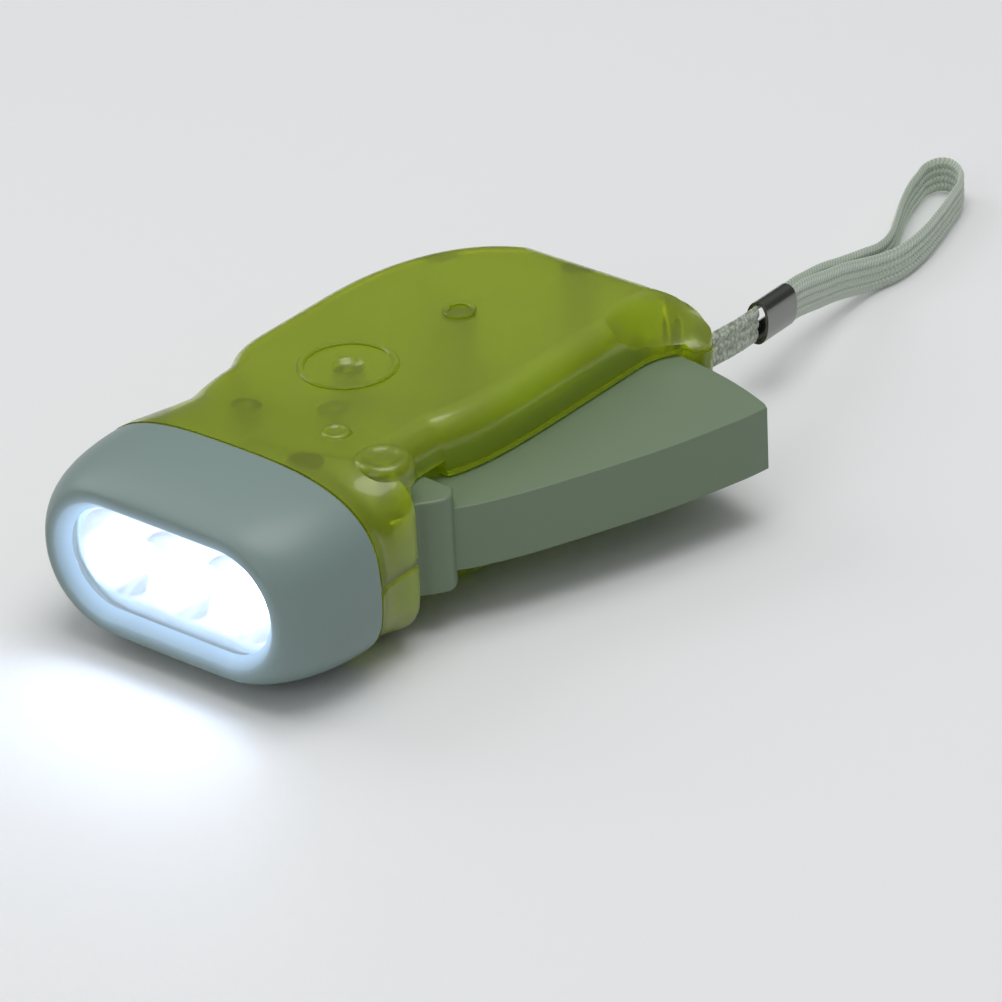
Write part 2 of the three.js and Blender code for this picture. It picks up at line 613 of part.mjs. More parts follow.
function addHousing() {
  const { first, second } = gearPlaces;
  const roof = shellTop - wall / 2;
  const upper = halfHousing(1);
  const lower = halfHousing(-1);
  const half = fitGap / 2;
  const upperPosts = screwPlaces.map((p) => postAt(p, post.radius, seamHeight + half, shellTop + headRise));
  upperPosts.push(
    postAt(first, post.axle, level.firstWheel + firstWheel.thickness + fitGap, roof),
    postAt(second, post.axle, level.secondWheel + secondWheel.thickness + fitGap, roof),
    postAt(rotorAxis, post.axle, rotorPinionTop() + fitGap, roof),
    postAt(pivot, pivotBoss.radius, hub.top + fitGap, roof),
    postAt(strapPin, 2 * strap.pin, seamHeight + strap.slotHeight / 2, roof),
  );
  const lowerPosts = screwPlaces.map((p) => postAt(p, post.radius, 0, seamHeight - half));
  lowerPosts.push(
    postAt(first, post.axle, wall / 2, level.firstPinion - fitGap),
    postAt(second, post.slim, wall / 2, level.secondPinion - fitGap),
    postAt(rotorAxis, post.slim, wall / 2, stator.bottom + fitGap),
    postAt(pivot, spring.post, wall / 2, hub.bottom - fitGap),
    postAt(strapPin, 2 * strap.pin, wall / 2, seamHeight - strap.slotHeight / 2),
    ...cellCradle(),
  );
  const pins = [[first, axleRadius], [second, axleRadius], [rotorAxis, axleRadius], [pivot, pivot.pinRadius],
    [strapPin, strap.pin]];
  const bores = pins.map(([p, radius]) => postAt(p, radius + runGap, wall, shellTop - wall));
  const windows = [leverChannel(), strapSlot(), switchWindow(), ...bores];
  addPiece('upper_shell', cut(
    join(upper.shell, join(...upperPosts).intersect(upper.outer), ...topRings()),
    ...windows,
    ...topDimples(),
    ...screwPlaces.map((p) => rod(p.x, p.y, screw.shank + runGap, -overrun, screwTop + fitGap, facets.small)),
  ), 'shell');
  const springRoom = rod(pivot.x, pivot.y, spring.coil + spring.wire + fitGap, wall, hub.bottom);
  addPiece('lower_shell', cut(
    join(cut(lower.shell, springRoom), join(...lowerPosts).intersect(lower.outer)),
    ...windows,
    ...screwPlaces.map((p) => rod(p.x, p.y, screw.shank + runGap, -overrun, shellTop, facets.small)),
    ...screwPlaces.map((p) => postAt(p, screw.head + runGap, -overrun, screwSeat)),
  ), 'shell');
}

function rotorPinionTop() {
  return level.secondWheel + secondWheel.thickness + fitGap;
}

// A round post or hole at a place
function postAt(place, radius, bottom, top) {
  return rod(place.x, place.y, radius, bottom, top, facets.post);
}

function topRings() {
  const circle = (p, outer, inner, sides) => cut(
    rod(p.x, p.y, outer, shellTop - wall / 2, shellTop + ring.height, sides),
    rod(p.x, p.y, inner, shellTop - wall, shellTop + overrun, sides),
  );
  const [middle] = screwPlaces;
  return [
    circle(rotorAxis, ring.outer, ring.inner, facets.ring),
    circle(middle, post.radius, post.radius - wall / 2, facets.pin),
    rod(pivot.x, pivot.y, pivotBoss.radius, shellTop - wall, shellTop + pivotBoss.height, facets.turned),
    postAt(smallBoss, smallBoss.radius, shellTop - wall, shellTop + smallBoss.height),
  ];
}

function topDimples() {
  const dimple = (p, radius, height) => (
    rod(p.x, p.y, radius, shellTop + height - ring.dimpleDepth, shellTop + overrun, facets.post)
  );
  return [
    dimple(rotorAxis, ring.dimple, 0),
    dimple(pivot, pivotBoss.dimple, pivotBoss.height),
    dimple(smallBoss, smallBoss.dimple, smallBoss.height),
  ];
}

const screwSeat = screw.sink + screw.headHeight;
const screwTop = screwSeat + screw.length;

function cellCradle() {
  const length = cell.count * (cell.thickness + fitGap);
  const bed = rod(0, 0, cell.radius + fitGap, -length, length, facets.turned);
  const turnedBed = bed.rotate([0, 90, 0]).translate([cell.x + length / 2, cell.y, cell.z]);
  return cell.cradleShares.map((share) => {
    const x = cell.x + length * share;
    const half = cell.cradle / 2;
    const rib = box(x - half, x + half, cell.y - cell.cradleHalf, cell.y + cell.cradleHalf,
      wall / 2, cell.z - cell.radius / 2);
    return cut(rib, turnedBed);
  });
}

function strapSlot() {
  const half = strap.slotWidth / 2;
  return box(strapPin.x - half, strapPin.x + half, strapPin.y, tailReach + overrun,
    seamHeight - strap.slotHeight / 2, seamHeight + strap.slotHeight / 2);
}

function switchWindow() {
  const front = slider.start - slider.stem / 2 - fitGap;
  const back = slider.start + slider.stem / 2 + slider.travel + fitGap;
  const half = slider.stemHalf + fitGap;
  const side = -waist.left;
  return box(side - overrun, side + 2 * wall, front, back, seamHeight - half, seamHeight + half);
}

// Head: one section of the bezel, between a straight-sided oval and the shells' own section
function headRing(y, grown, size, inset = 0) {
  return Array.from({ length: headSides }, (_, i) => {
    const angle = Math.PI * 2 * i / headSides;
    const c = Math.cos(angle);
    const s = Math.sin(angle);
    const oval = ovalRadius(size.halfWidth - inset, size.halfHeight - inset, c, s);
    const half = bodyHalfHeight + (s > 0 ? headRise : 0) - inset;
    const { power } = headSection;
    const across = (Math.abs(c) / (headHalfWidth - inset)) ** power;
    const round = (across + (Math.abs(s) / half) ** power) ** (-1 / power);
    const radius = THREE.MathUtils.lerp(oval, round, grown);
    const centre = seamHeight + headCentreRise * (1 - grown);
    return new THREE.Vector3(radius * c, y, centre + radius * s);
  });
}

function ovalRadius(halfWidth, halfHeight, c, s) {
  const flat = halfWidth - halfHeight;
  if (halfHeight * Math.abs(c) <= flat * Math.abs(s)) return halfHeight / Math.abs(s);
  return flat * Math.abs(c) + Math.sqrt(halfHeight ** 2 - (flat * s) ** 2);
}

function addBezel() {
  const front = -frontReach;
  const grown = (share) => (1 - (1 - share) ** growth.bend) ** growth.rise;
  const at = (share) => front + headDepth * share;
  const room = lens.lip + fitGap;
  const seat = { halfWidth: throat.halfWidth + room, halfHeight: throat.halfHeight + room };
  const shoulderShare = (throat.depth + lens.thickness + 2 * fitGap) / headDepth;
  const plugInset = wall + fitGap + plug.taper;
  const [plugShare, wallShare] = innerShares;
  const rings = growthShares.map((share) => headRing(at(share), grown(share), rimFace));
  rings.push(
    headRing(jointY, 1, rimFace, plugInset),
    headRing(jointY + plug.depth, 1, rimFace, plugInset),
    headRing(jointY + plug.depth, 1, rimFace, plugInset + plug.wall),
    headRing(at(plugShare), grown(plugShare), rimFace, headWall + plug.wall),
    headRing(at(wallShare), grown(wallShare), rimFace, headWall),
    headRing(at(shoulderShare), grown(shoulderShare), rimFace, headWall),
    headRing(at(shoulderShare), 0, seat),
    headRing(front + throat.depth, 0, seat),
    headRing(front + throat.depth, 0, throat),
    headRing(front, 0, mouth),
  );
  addPiece('bezel', hoop(rings), 'grey');
}

// An oval plate square to the beam
function ovalPlate(halfWidth, halfHeight, front, thickness) {
  const size = { halfWidth, halfHeight };
  const rings = [headRing(front, 0, size), headRing(front + thickness, 0, size)];
  return skin([closing(rings[0]), ...rings, closing(rings[1])]);
}

// A profile of [radius, y] pairs turned about an axis along the beam
function turnedAlongBeam(x, z, profile, sides = facets.turned) {
  const geometry = new THREE.LatheGeometry(profile.map(([radius, y]) => new THREE.Vector2(radius, y)), sides);
  geometry.translate(x, 0, z);
  return upright(geometry);
}

function addOptics() {
  const centre = seamHeight + headCentreRise;
  const lensFront = throat.depth - frontReach + fitGap;
  const flangeWidth = throat.halfWidth + lens.lip;
  const flangeHeight = throat.halfHeight + lens.lip;
  addPiece('lens', ovalPlate(flangeWidth, flangeHeight, lensFront, lens.thickness), 'clear');
  const front = lensFront + lens.thickness + fitGap;
  const back = front + cup.depth;
  const places = [['left', -cup.pitch], ['centre', 0], ['right', cup.pitch]];
  const bowl = (extra) => Array.from({ length: cup.steps + 1 }, (_, i) => {
    const share = i / cup.steps;
    const radius = Math.sqrt(THREE.MathUtils.lerp(cup.radius ** 2, cup.neck ** 2, share));
    return [radius + extra, front + cup.depth * share];
  });
  const rear = back + reflectorWall;
  const outsideProfile = [[0, front], ...bowl(reflectorWall), [cup.neck + reflectorWall, rear], [0, rear]];
  const [open, through] = [front - overrun, back + overrun];
  const insideProfile = [[0, open], [cup.radius, open], ...bowl(0), [cup.neck, through], [0, through]];
  const outside = places.map(([, x]) => turnedAlongBeam(x, centre, outsideProfile, facets.post));
  const inside = places.map(([, x]) => turnedAlongBeam(x, centre, insideProfile, facets.bowl));
  const flange = ovalPlate(flangeWidth, flangeHeight, front, reflectorWall);
  const middle = box(-flangeWidth, flangeWidth, front - overrun, back + overrun,
    centre - flangeHeight, centre + flangeHeight);
  addPiece('reflector', cut(join(flange, ...outside.map((o) => o.intersect(middle))), ...inside), 'chrome');
  const ledBack = back + reflectorWall + fitGap + led.flangeDepth;
  for (const [side, x] of places) {
    const dome = Array.from({ length: led.steps + 1 }, (_, i) => {
      const angle = Math.PI / 2 * i / led.steps;
      return [led.radius * Math.sin(angle), ledBack - led.length + led.radius * (1 - Math.cos(angle))];
    });
    addPiece(`led_${side}`, turnedAlongBeam(x, centre, [
      ...dome,
      [led.radius, ledBack - led.flangeDepth],
      [led.flange, ledBack - led.flangeDepth],
      [led.flange, ledBack],
      [0, ledBack],
    ], facets.dome), 'clear');
  }
  const plate = ovalPlate(throat.halfWidth, throat.halfHeight, ledBack + fitGap, board.thickness);
  addPiece('led_board', plate, 'board');
}

function leverOutline() {
  const edge = armEdgeShares.map(([share, degrees]) => (
    new THREE.Vector2(...polar(pivot, THREE.MathUtils.lerp(hub.reach, arm.reach, share), degrees))
  ));
  const outer = new THREE.SplineCurve(edge).getPoints(facets.arm);
  const [, lastAngle] = armEdgeShares[armEdgeShares.length - 1];
  const innerAngle = directionTo(pivot, { x: arm.inner, y: pivot.y + arm.reach });
  const end = arcPoints(pivot, arm.reach, lastAngle + arm.endTurn, innerAngle, facets.armEnd);
  return [
    new THREE.Vector2(arm.inner, notch.from + 2 * hub.edge),
    ...outer,
    ...end.map(([x, y]) => new THREE.Vector2(x, y)),
  ];
}

function addLever() {
  const outline = leverOutline();
  const plate = prism(new THREE.Shape(outline), arm.bottom, arm.top, arm.edge);
  const hollow = insetOutline(outline, arm.wall);
  const inside = join(
    prism(new THREE.Shape(hollow), arm.bottom + arm.plate, arm.top - arm.plate),
    box(arm.inner - overrun, arm.inner + 2 * arm.wall, notch.to, tailReach - 2 * tail.corner,
      arm.bottom + arm.plate, arm.top - arm.plate),
  );
  const hubPlan = polygon([
    ...arcPoints(pivot, hub.radius, hub.from, hub.to, facets.hub),
    ...fromPivot(hubEdge),
    [arm.inner, notch.from + arm.wall],
  ]);
  const block = prism(hubPlan, hub.bottom, hub.top, hub.edge);
  const slotHeight = sector.thickness / 2 + fitGap;
  const slotMiddle = level.sector + sector.thickness / 2;
  const sectorSlot = join(
    rod(pivot.x, pivot.y, sector.eye + fitGap, slotMiddle - slotHeight, slotMiddle + slotHeight),
    box(pivot.x - arm.reach, pivot.x, pivot.y - sector.eye - fitGap, pivot.y + hub.radius + arm.wall,
      slotMiddle - slotHeight, slotMiddle + slotHeight),
  );
  const room = spring.wire + fitGap;
  const [from, to] = [spring.start - swing - spring.slack, spring.start + spring.slack];
  const tangSlot = prism(polygon([
    ...arcPoints(pivot, spring.coil + room, from, to, facets.fan),
    ...arcPoints(pivot, spring.coil - room, to, from, facets.fan),
  ]), 0, hub.bottom + spring.tang + fitGap);
  const bore = rod(pivot.x, pivot.y, pivot.pinRadius + runGap, 0, shellTop, facets.bore);
  addPiece('lever', cut(join(cut(plate, inside), block), sectorSlot, tangSlot, bore), 'grey');
}

// A fan of teeth on a web, carried by an eye on the lever's pin
function addSector() {
  const step = 360 / sector.teeth;
  const from = firstAngle - sector.trail;
  const to = firstAngle + sector.lead;
  const angles = Array.from({ length: sector.cut }, (_, i) => firstAngle - (sector.cut - 1 - i) * step);
  const teeth = angles.flatMap((angle) => toothPoints(sector, pivot, angle));
  const root = sector.module * (sector.teeth / 2 - mesh.rootShare);
  const web = polygon([
    polar(pivot, sector.eye, from - sector.flank),
    polar(pivot, root, from),
    ...teeth,
    polar(pivot, root, to),
    polar(pivot, sector.waist, to),
    polar(pivot, sector.eye, to + sector.flank),
  ]);
  const window = polygon([
    ...arcPoints(pivot, root - sector.rim, from + sector.spoke, to - sector.spoke, facets.fan),
    ...arcPoints(pivot, sector.waist, to - sector.spokeRoot, from + sector.spokeRoot, facets.fanRoot),
  ]);
  const bottom = level.sector;
  const top = bottom + sector.thickness;
  addPiece('sector_gear', cut(
    join(prism(web, bottom, top), rod(pivot.x, pivot.y, sector.eye, bottom, top)),
    prism(window, bottom - overrun, top + overrun),
    rod(pivot.x, pivot.y, pivot.pinRadius + runGap, bottom - overrun, top + overrun, facets.bore),
  ), 'white');
}

function addGears() {
  const { first, second } = gearPlaces;
  const toFirst = directionTo(first, second);
  const toRotor = directionTo(second, rotorAxis);
  const wheelTop = level.firstWheel + firstWheel.thickness;
  const bore = (p) => rod(p.x, p.y, axleRadius + runGap, -overrun, shellTop + overrun, facets.post);
  addPiece('first_gear', cut(join(
    prism(gearShape(firstPinion, first, firstAngle + 180, true), level.firstPinion, wheelTop),
    prism(gearShape(firstWheel, first, toFirst), level.firstWheel, wheelTop),
  ), bore(first)), 'white');
  const secondTop = level.secondWheel + secondWheel.thickness;
  addPiece('second_gear', cut(join(
    prism(gearShape(secondPinion, second, toFirst + 180, true), level.secondPinion, secondTop),
    prism(gearShape(secondWheel, second, toRotor), level.secondWheel, secondTop),
  ), bore(second)), 'white');
  addPiece('first_axle', pinAt(first, axleRadius, facets.post), 'steel');
  addPiece('second_axle', pinAt(second, axleRadius, facets.post), 'steel');
  addPiece('lever_pin', pinAt(pivot, pivot.pinRadius, facets.pin), 'steel');
  addPiece('strap_pin', pinAt(strapPin, strap.pin, facets.small), 'steel');
}

// A pin between the floor of the lower shell and the roof of the upper one
function pinAt(place, radius, sides) {
  return rod(place.x, place.y, radius, wall + fitGap, shellTop - wall - fitGap, sides);
}

function addGenerator() {
  const { x, y } = rotorAxis;
  const toSecond = directionTo(rotorAxis, gearPlaces.second);
  const pinionBottom = level.secondWheel - fitGap;
  addPiece('rotor_shaft', join(
    pinAt(rotorAxis, axleRadius, facets.post),
    prism(gearShape(rotorPinion, rotorAxis, toSecond, true), pinionBottom, rotorPinionTop()),
  ), 'steel');
  const inner = axleRadius + runGap;
  const magnetBottom = stator.bottom + stator.wall + fitGap;
  addPiece('rotor_magnet', turned(x, y, closed([
    [inner, magnetBottom],
    [magnet.radius, magnetBottom],
    [magnet.radius, magnetBottom + magnet.height],
    [inner, magnetBottom + magnet.height],
  ])), 'dark');
  const bottom = flywheel.bottom;
  const top = bottom + flywheel.height;
  addPiece('flywheel', turned(x, y, closed([
    [inner, bottom],
    [flywheel.radius, bottom],
    [flywheel.radius, top],
    [flywheel.radius - flywheel.rim, top],
    [flywheel.radius - flywheel.rim, bottom + flywheel.web],
    [inner + flywheel.web, bottom + flywheel.web],
    [inner + flywheel.web, top],
    [inner, top],
  ])), 'steel');
  const cupTop = stator.bottom + stator.height;
  const poles = Array.from({ length: claws.count }, (_, i) => {
    const step = 360 / claws.count;
    const half = step * claws.share / 2;
    return prism(polygon([
      ...arcPoints(rotorAxis, claws.outerRadius, i * step - half, i * step + half, facets.claw),
      ...arcPoints(rotorAxis, claws.innerRadius, i * step + half, i * step - half, facets.claw),
    ]), stator.bottom, cupTop - stator.wall);
  });
  addPiece('stator_cup', join(turned(x, y, closed([
    [post.slim + fitGap, stator.bottom],
    [stator.radius, stator.bottom],
    [stator.radius, cupTop],
    [stator.radius - stator.wall, cupTop],
    [stator.radius - stator.wall, stator.bottom + stator.wall],
    [post.slim + fitGap, stator.bottom + stator.wall],
  ])), ...poles), 'steel');
  const coilBottom = stator.bottom + stator.wall + fitGap;
  const coilTop = coilBottom + coil.height;
  const flangeHeight = stator.wall / 2;
  addPiece('coil_bobbin', turned(x, y, closed([
    [stator.bore, coilBottom],
    [coil.outer, coilBottom],
    [coil.outer, coilBottom + flangeHeight],
    [coil.inner, coilBottom + flangeHeight],
    [coil.inner, coilTop - flangeHeight],
    [coil.outer, coilTop - flangeHeight],
    [coil.outer, coilTop],
    [stator.bore, coilTop],
  ])), 'white');
  addPiece('coil_winding', turned(x, y, closed([
    [coil.inner + runGap, coilBottom + flangeHeight + runGap],
    [coil.outer - fitGap, coilBottom + flangeHeight + runGap],
    [coil.outer - fitGap, coilTop - flangeHeight - runGap],
    [coil.inner + runGap, coilTop - flangeHeight - runGap],
  ])), 'copper');
}

function closed(profile) {
  return [...profile, profile[0]];
}

// A round or flat section carried along a route
function tube(route, shape, steps) {
  const path = new THREE.CatmullRomCurve3(route, false, 'centripetal');
  const geometry = new THREE.ExtrudeGeometry(shape, { steps, bevelEnabled: false, extrudePath: path });
  return upright(geometry);
}

function circleShape(radius, sides) {
  return polygon(arcPoints({ x: 0, y: 0 }, radius, 0, 360 - 360 / sides, sides - 1));
}

function addSpring() {
  const count = spring.turns * spring.stepsPerTurn;
  const route = Array.from({ length: count + 1 }, (_, i) => {
    const [x, y] = polar(pivot, spring.coil, spring.start + 360 * i / spring.stepsPerTurn);
    return new THREE.Vector3(x, y, spring.bottom + spring.pitch * i / spring.stepsPerTurn);
  });
  route.unshift(new THREE.Vector3(route[0].x - spring.leg, route[0].y, spring.bottom));
  const end = route[route.length - 1];
  route.push(new THREE.Vector3(end.x, end.y, hub.bottom + spring.tang));
  addPiece('lever_spring', tubeThrough(route, spring.wire, facets.springWire), 'steel');
}

// A tube with one ring of points at each corner of its route
function tubeThrough(route, radius, sides) {
  const tangents = route.map((p, i) => {
    const before = route[Math.max(0, i - 1)];
    const after = route[Math.min(route.length - 1, i + 1)];
    return after.clone().sub(before).normalize();
  });
  let normal = new THREE.Vector3(0, 0, 1);
  const rings = route.map((p, i) => {
    const side = new THREE.Vector3().crossVectors(tangents[i], normal).normalize();
    normal = new THREE.Vector3().crossVectors(side, tangents[i]).normalize();
    return Array.from({ length: sides }, (_, k) => {
      const angle = Math.PI * 2 * k / sides;
      const [across, up] = [radius * Math.cos(angle), radius * Math.sin(angle)];
      return p.clone().addScaledVector(side, across).addScaledVector(normal, up);
    });
  });
  return skin([closing(rings[0]), ...rings, closing(rings[rings.length - 1])]);
}

function addScrews() {
  for (const place of screwPlaces) {
    addPiece(place.name, join(
      rod(place.x, place.y, screw.head, screw.sink, screwSeat - runGap, facets.screwHead),
      rod(place.x, place.y, screw.shank, screw.sink, screwTop, facets.screwShank),
    ), 'steel');
  }
}

function addSwitch() {
  const outside = -waist.left - fitGap;
  const inside = -waist.left + wall + fitGap;
  const at = slider.start;
  const half = slider.height / 2;
  const [front, back] = [at - slider.length / 2, at + slider.length / 2];
  addPiece('switch_slider', join(
    box(outside - slider.proud, outside, front, back, seamHeight - half, seamHeight + half),
    box(outside - slider.proud / 2, inside + slider.plate / 2, at - slider.stem / 2, at + slider.stem / 2,
      seamHeight - slider.stemHalf, seamHeight + slider.stemHalf),
    box(inside, inside + slider.plate, at - slider.plateLength / 2, at + slider.plateLength / 2,
      seamHeight - half, seamHeight + half - fitGap),
  ), 'dark');
  const bodyFront = inside + slider.plate + fitGap;
  const middle = at + slider.travel / 2;
  const bodyTop = level.firstWheel - fitGap;
  addPiece('switch_body', box(bodyFront, bodyFront + switchBody.depth, middle - switchBody.length / 2,
    middle + switchBody.length / 2, bodyTop - switchBody.height, bodyTop), 'steel');
}

function addCells() {
  const pitch = cell.thickness + fitGap;
  for (let i = 0; i < cell.count; i += 1) {
    const disc = rod(0, 0, cell.radius, 0, cell.thickness, facets.turned).rotate([0, 90, 0]);
    addPiece(`button_cell_${i + 1}`, disc.translate([cell.x + i * pitch, cell.y, cell.z]), 'steel');
  }
  const half = contact.width / 2;
  const ends = [['left', cell.x - fitGap - contact.thickness], ['right', cell.x + cell.count * pitch]];
  for (const [side, x] of ends) {
    addPiece(`cell_contact_${side}`, box(x, x + contact.thickness, cell.y - half, cell.y + half,
      cell.z - half, cell.z + half), 'copper');
  }
}

function routeFrom(places, start) {
  return places.map(([x, y, z]) => new THREE.Vector3(x, start + y, z));
}

function addWires() {
  const round = circleShape(wireRadius, facets.wire);
  for (const [name, look, route] of wireRoutes) {
    addPiece(name, tube(routeFrom(route, jointY), round, facets.wireSteps), look);
  }
}

function flatShape(height, thickness) {
  const x = height / 2;
  const y = thickness / 2;
  const edge = thickness / 4;
  return polygon([[x, y - edge], [x - edge, y], [edge - x, y], [-x, y - edge], [-x, edge - y], [edge - x, -y],
    [x - edge, -y], [x, edge - y]]);
}

function addStrap() {
  const band = flatShape(strap.width, strap.thickness);
  addPiece('strap_tail', tube(routeFrom(strapTailRoute, tailReach), band, facets.tailSteps), 'braid');
  addPiece('wrist_strap', tube(routeFrom(strapRoute, tailReach), band, facets.bandSteps), 'braid');
  const [from, to] = routeFrom(crimpRoute, tailReach);
  const middle = from.clone().lerp(to, 1 / 2);
  const sleeve = flatShape(crimp.width, crimp.thickness);
  addPiece('strap_crimp', tube([from, middle, to], sleeve, facets.sleeveSteps), 'steel');
}

addHousing();
addBezel();
addOptics();
addLever();
addSector();
addGears();
addGenerator();
addSpring();
addScrews();
addSwitch();
addCells();
addWires();
addStrap();

export default torch;
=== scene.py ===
import bpy
import bmesh
import math
from mathutils import Matrix, Vector
from mathutils.geometry import interpolate_bezier


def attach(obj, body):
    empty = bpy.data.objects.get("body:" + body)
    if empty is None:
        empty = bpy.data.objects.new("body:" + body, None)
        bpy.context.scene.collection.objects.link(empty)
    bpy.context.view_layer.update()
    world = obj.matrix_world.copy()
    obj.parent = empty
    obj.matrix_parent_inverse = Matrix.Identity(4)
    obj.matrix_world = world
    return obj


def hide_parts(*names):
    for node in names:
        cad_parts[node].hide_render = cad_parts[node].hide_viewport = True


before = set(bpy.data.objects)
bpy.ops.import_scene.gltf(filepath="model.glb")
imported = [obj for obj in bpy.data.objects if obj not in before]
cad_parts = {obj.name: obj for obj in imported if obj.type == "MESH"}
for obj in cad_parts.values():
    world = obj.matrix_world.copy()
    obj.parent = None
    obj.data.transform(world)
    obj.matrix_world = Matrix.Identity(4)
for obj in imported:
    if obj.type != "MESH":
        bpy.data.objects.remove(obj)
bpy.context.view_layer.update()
print("frame loaded:", len(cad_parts), "nodes")

mm = 0.001


def addObject(name, data):
    made = bpy.data.objects.new(name, data)
    bpy.context.scene.collection.objects.link(made)
    return made


def asMesh(bm, name):
    mesh = bpy.data.meshes.new(name)
    bm.to_mesh(mesh)
    bm.free()
    return mesh


# camera

view = {
    "azimuth": 40.34,        # degrees from -Y towards +X
    "elevation": 29.47,
    "roll": -2.97,
    "lens": 202.7,
    "sensor": 36,
    "place": (0.5170, -0.58025, 0.4446),
}


def addCamera():
    az, el, roll = (math.radians(view[k]) for k in ("azimuth", "elevation", "roll"))
    data = bpy.data.cameras.new("viewCamera")
    data.lens = view["lens"]
    data.sensor_width = view["sensor"]
    data.clip_end = 20
    camera = addObject("viewCamera", data)
    turn = Matrix.Translation(view["place"])
    for angle, axis in ((az, "Z"), (math.pi / 2 - el, "X"), (roll, "Z")):
        turn = turn @ Matrix.Rotation(angle, 4, axis)
    camera.matrix_world = turn
    bpy.context.scene.camera = camera


addCamera()
print("camera placed")


# node helpers

def fill(tree, node, values):
    # a value is a number, a colour or another node's output
    for key, value in values.items():
        if isinstance(value, bpy.types.NodeSocket):
            tree.links.new(value, node.inputs[key])
        else:
            node.inputs[key].default_value = value


def addNode(tree, kind, settings=None, values=None):
    node = tree.nodes.new(kind)
    for key, value in (settings or {}).items():
        setattr(node, key, value)
    fill(tree, node, values or {})
    return node


def calc(tree, operation, *values):
    return addNode(tree, "ShaderNodeMath", {"operation": operation}, dict(enumerate(values))).outputs[0]


def objectPlace(tree):
    return addNode(tree, "ShaderNodeTexCoord").outputs["Object"]


def noise(tree, place, scale, detail=2.0, roughness=0.5):
    values = {"Vector": place, "Scale": scale, "Detail": detail, "Roughness": roughness}
    return addNode(tree, "ShaderNodeTexNoise", values=values).outputs["Fac"]


def ramp(tree, share, low, high, ends=(0, 1)):
    node = addNode(tree, "ShaderNodeValToRGB", values={"Fac": share})
    for element, end, color in zip(node.color_ramp.elements, ends, (low, high)):
        element.position = end
        element.color = (*color, 1)
    return node.outputs["Color"]


def mapRange(tree, value, fromMin, fromMax, toMin, toMax, kind="LINEAR"):
    values = {"Value": value, "From Min": fromMin, "From Max": fromMax, "To Min": toMin, "To Max": toMax}
    return addNode(tree, "ShaderNodeMapRange", {"interpolation_type": kind}, values).outputs["Result"]


def bump(tree, height, strength, distance):
    values = {"Height": height, "Strength": strength, "Distance": distance}
    return addNode(tree, "ShaderNodeBump", values=values).outputs["Normal"]


def newMaterial(name, values):
    material = bpy.data.materials.new(name)
    material.use_nodes = True
    tree = material.node_tree
    shader = tree.nodes["Principled BSDF"]
    fill(tree, shader, values)
    return material, tree, shader


# materials

def grainGroup():
    # moulded surface: fine grain, slow tint drift and a little roughness drift
    group = bpy.data.node_groups.new("mouldedGrain", "ShaderNodeTree")
    given = {"Color": (0.5, 0.5, 0.5, 1), "Roughness": 0.4, "Grain Scale": 2500.0, "Grain Depth": 0.1,
             "Drift": 0.1}
    for label, value in given.items():
        kind = "NodeSocketColor" if label == "Color" else "NodeSocketFloat"
        group.interface.new_socket(label, in_out="INPUT", socket_type=kind).default_value = value
    for label, kind in (("Color", "Color"), ("Roughness", "Float"), ("Normal", "Vector")):
        group.interface.new_socket(label, in_out="OUTPUT", socket_type="NodeSocket" + kind)
    given = group.nodes.new("NodeGroupInput").outputs
    place = objectPlace(group)
    fine = noise(group, place, given["Grain Scale"], 3.0, 0.6)
    slow = noise(group, place, 45.0, 4.0)
    drift = calc(group, "MULTIPLY", calc(group, "SUBTRACT", slow, 0.5), given["Drift"])
    tint = addNode(group, "ShaderNodeHueSaturation", values={
        "Value": calc(group, "ADD", drift, 1.0), "Color": given["Color"]})
    fill(group, group.nodes.new("NodeGroupOutput"), {
        "Color": tint.outputs["Color"], "Roughness": calc(group, "ADD", drift, given["Roughness"]),
        "Normal": bump(group, fine, given["Grain Depth"], 0.00005)})
    return group


grain = grainGroup()


def mouldedPlastic(name, color, roughness, scale, depth, drift, extra=None):
    material, tree, shader = newMaterial(name, extra or {})
    surface = addNode(tree, "ShaderNodeGroup", {"node_tree": grain}, {
        "Color": (*color, 1), "Roughness": roughness, "Grain Scale": scale, "Grain Depth": depth,
        "Drift": drift})
    fill(tree, shader, {"Base Color": surface.outputs["Color"], "Roughness": surface.outputs["Roughness"],
                        "Normal": surface.outputs["Normal"]})
    return material


def metal(name, color, roughness, scale=1800.0, depth=0.15):
    return mouldedPlastic(name, color, roughness, scale, depth, 0.12, {"Metallic": 1.0})


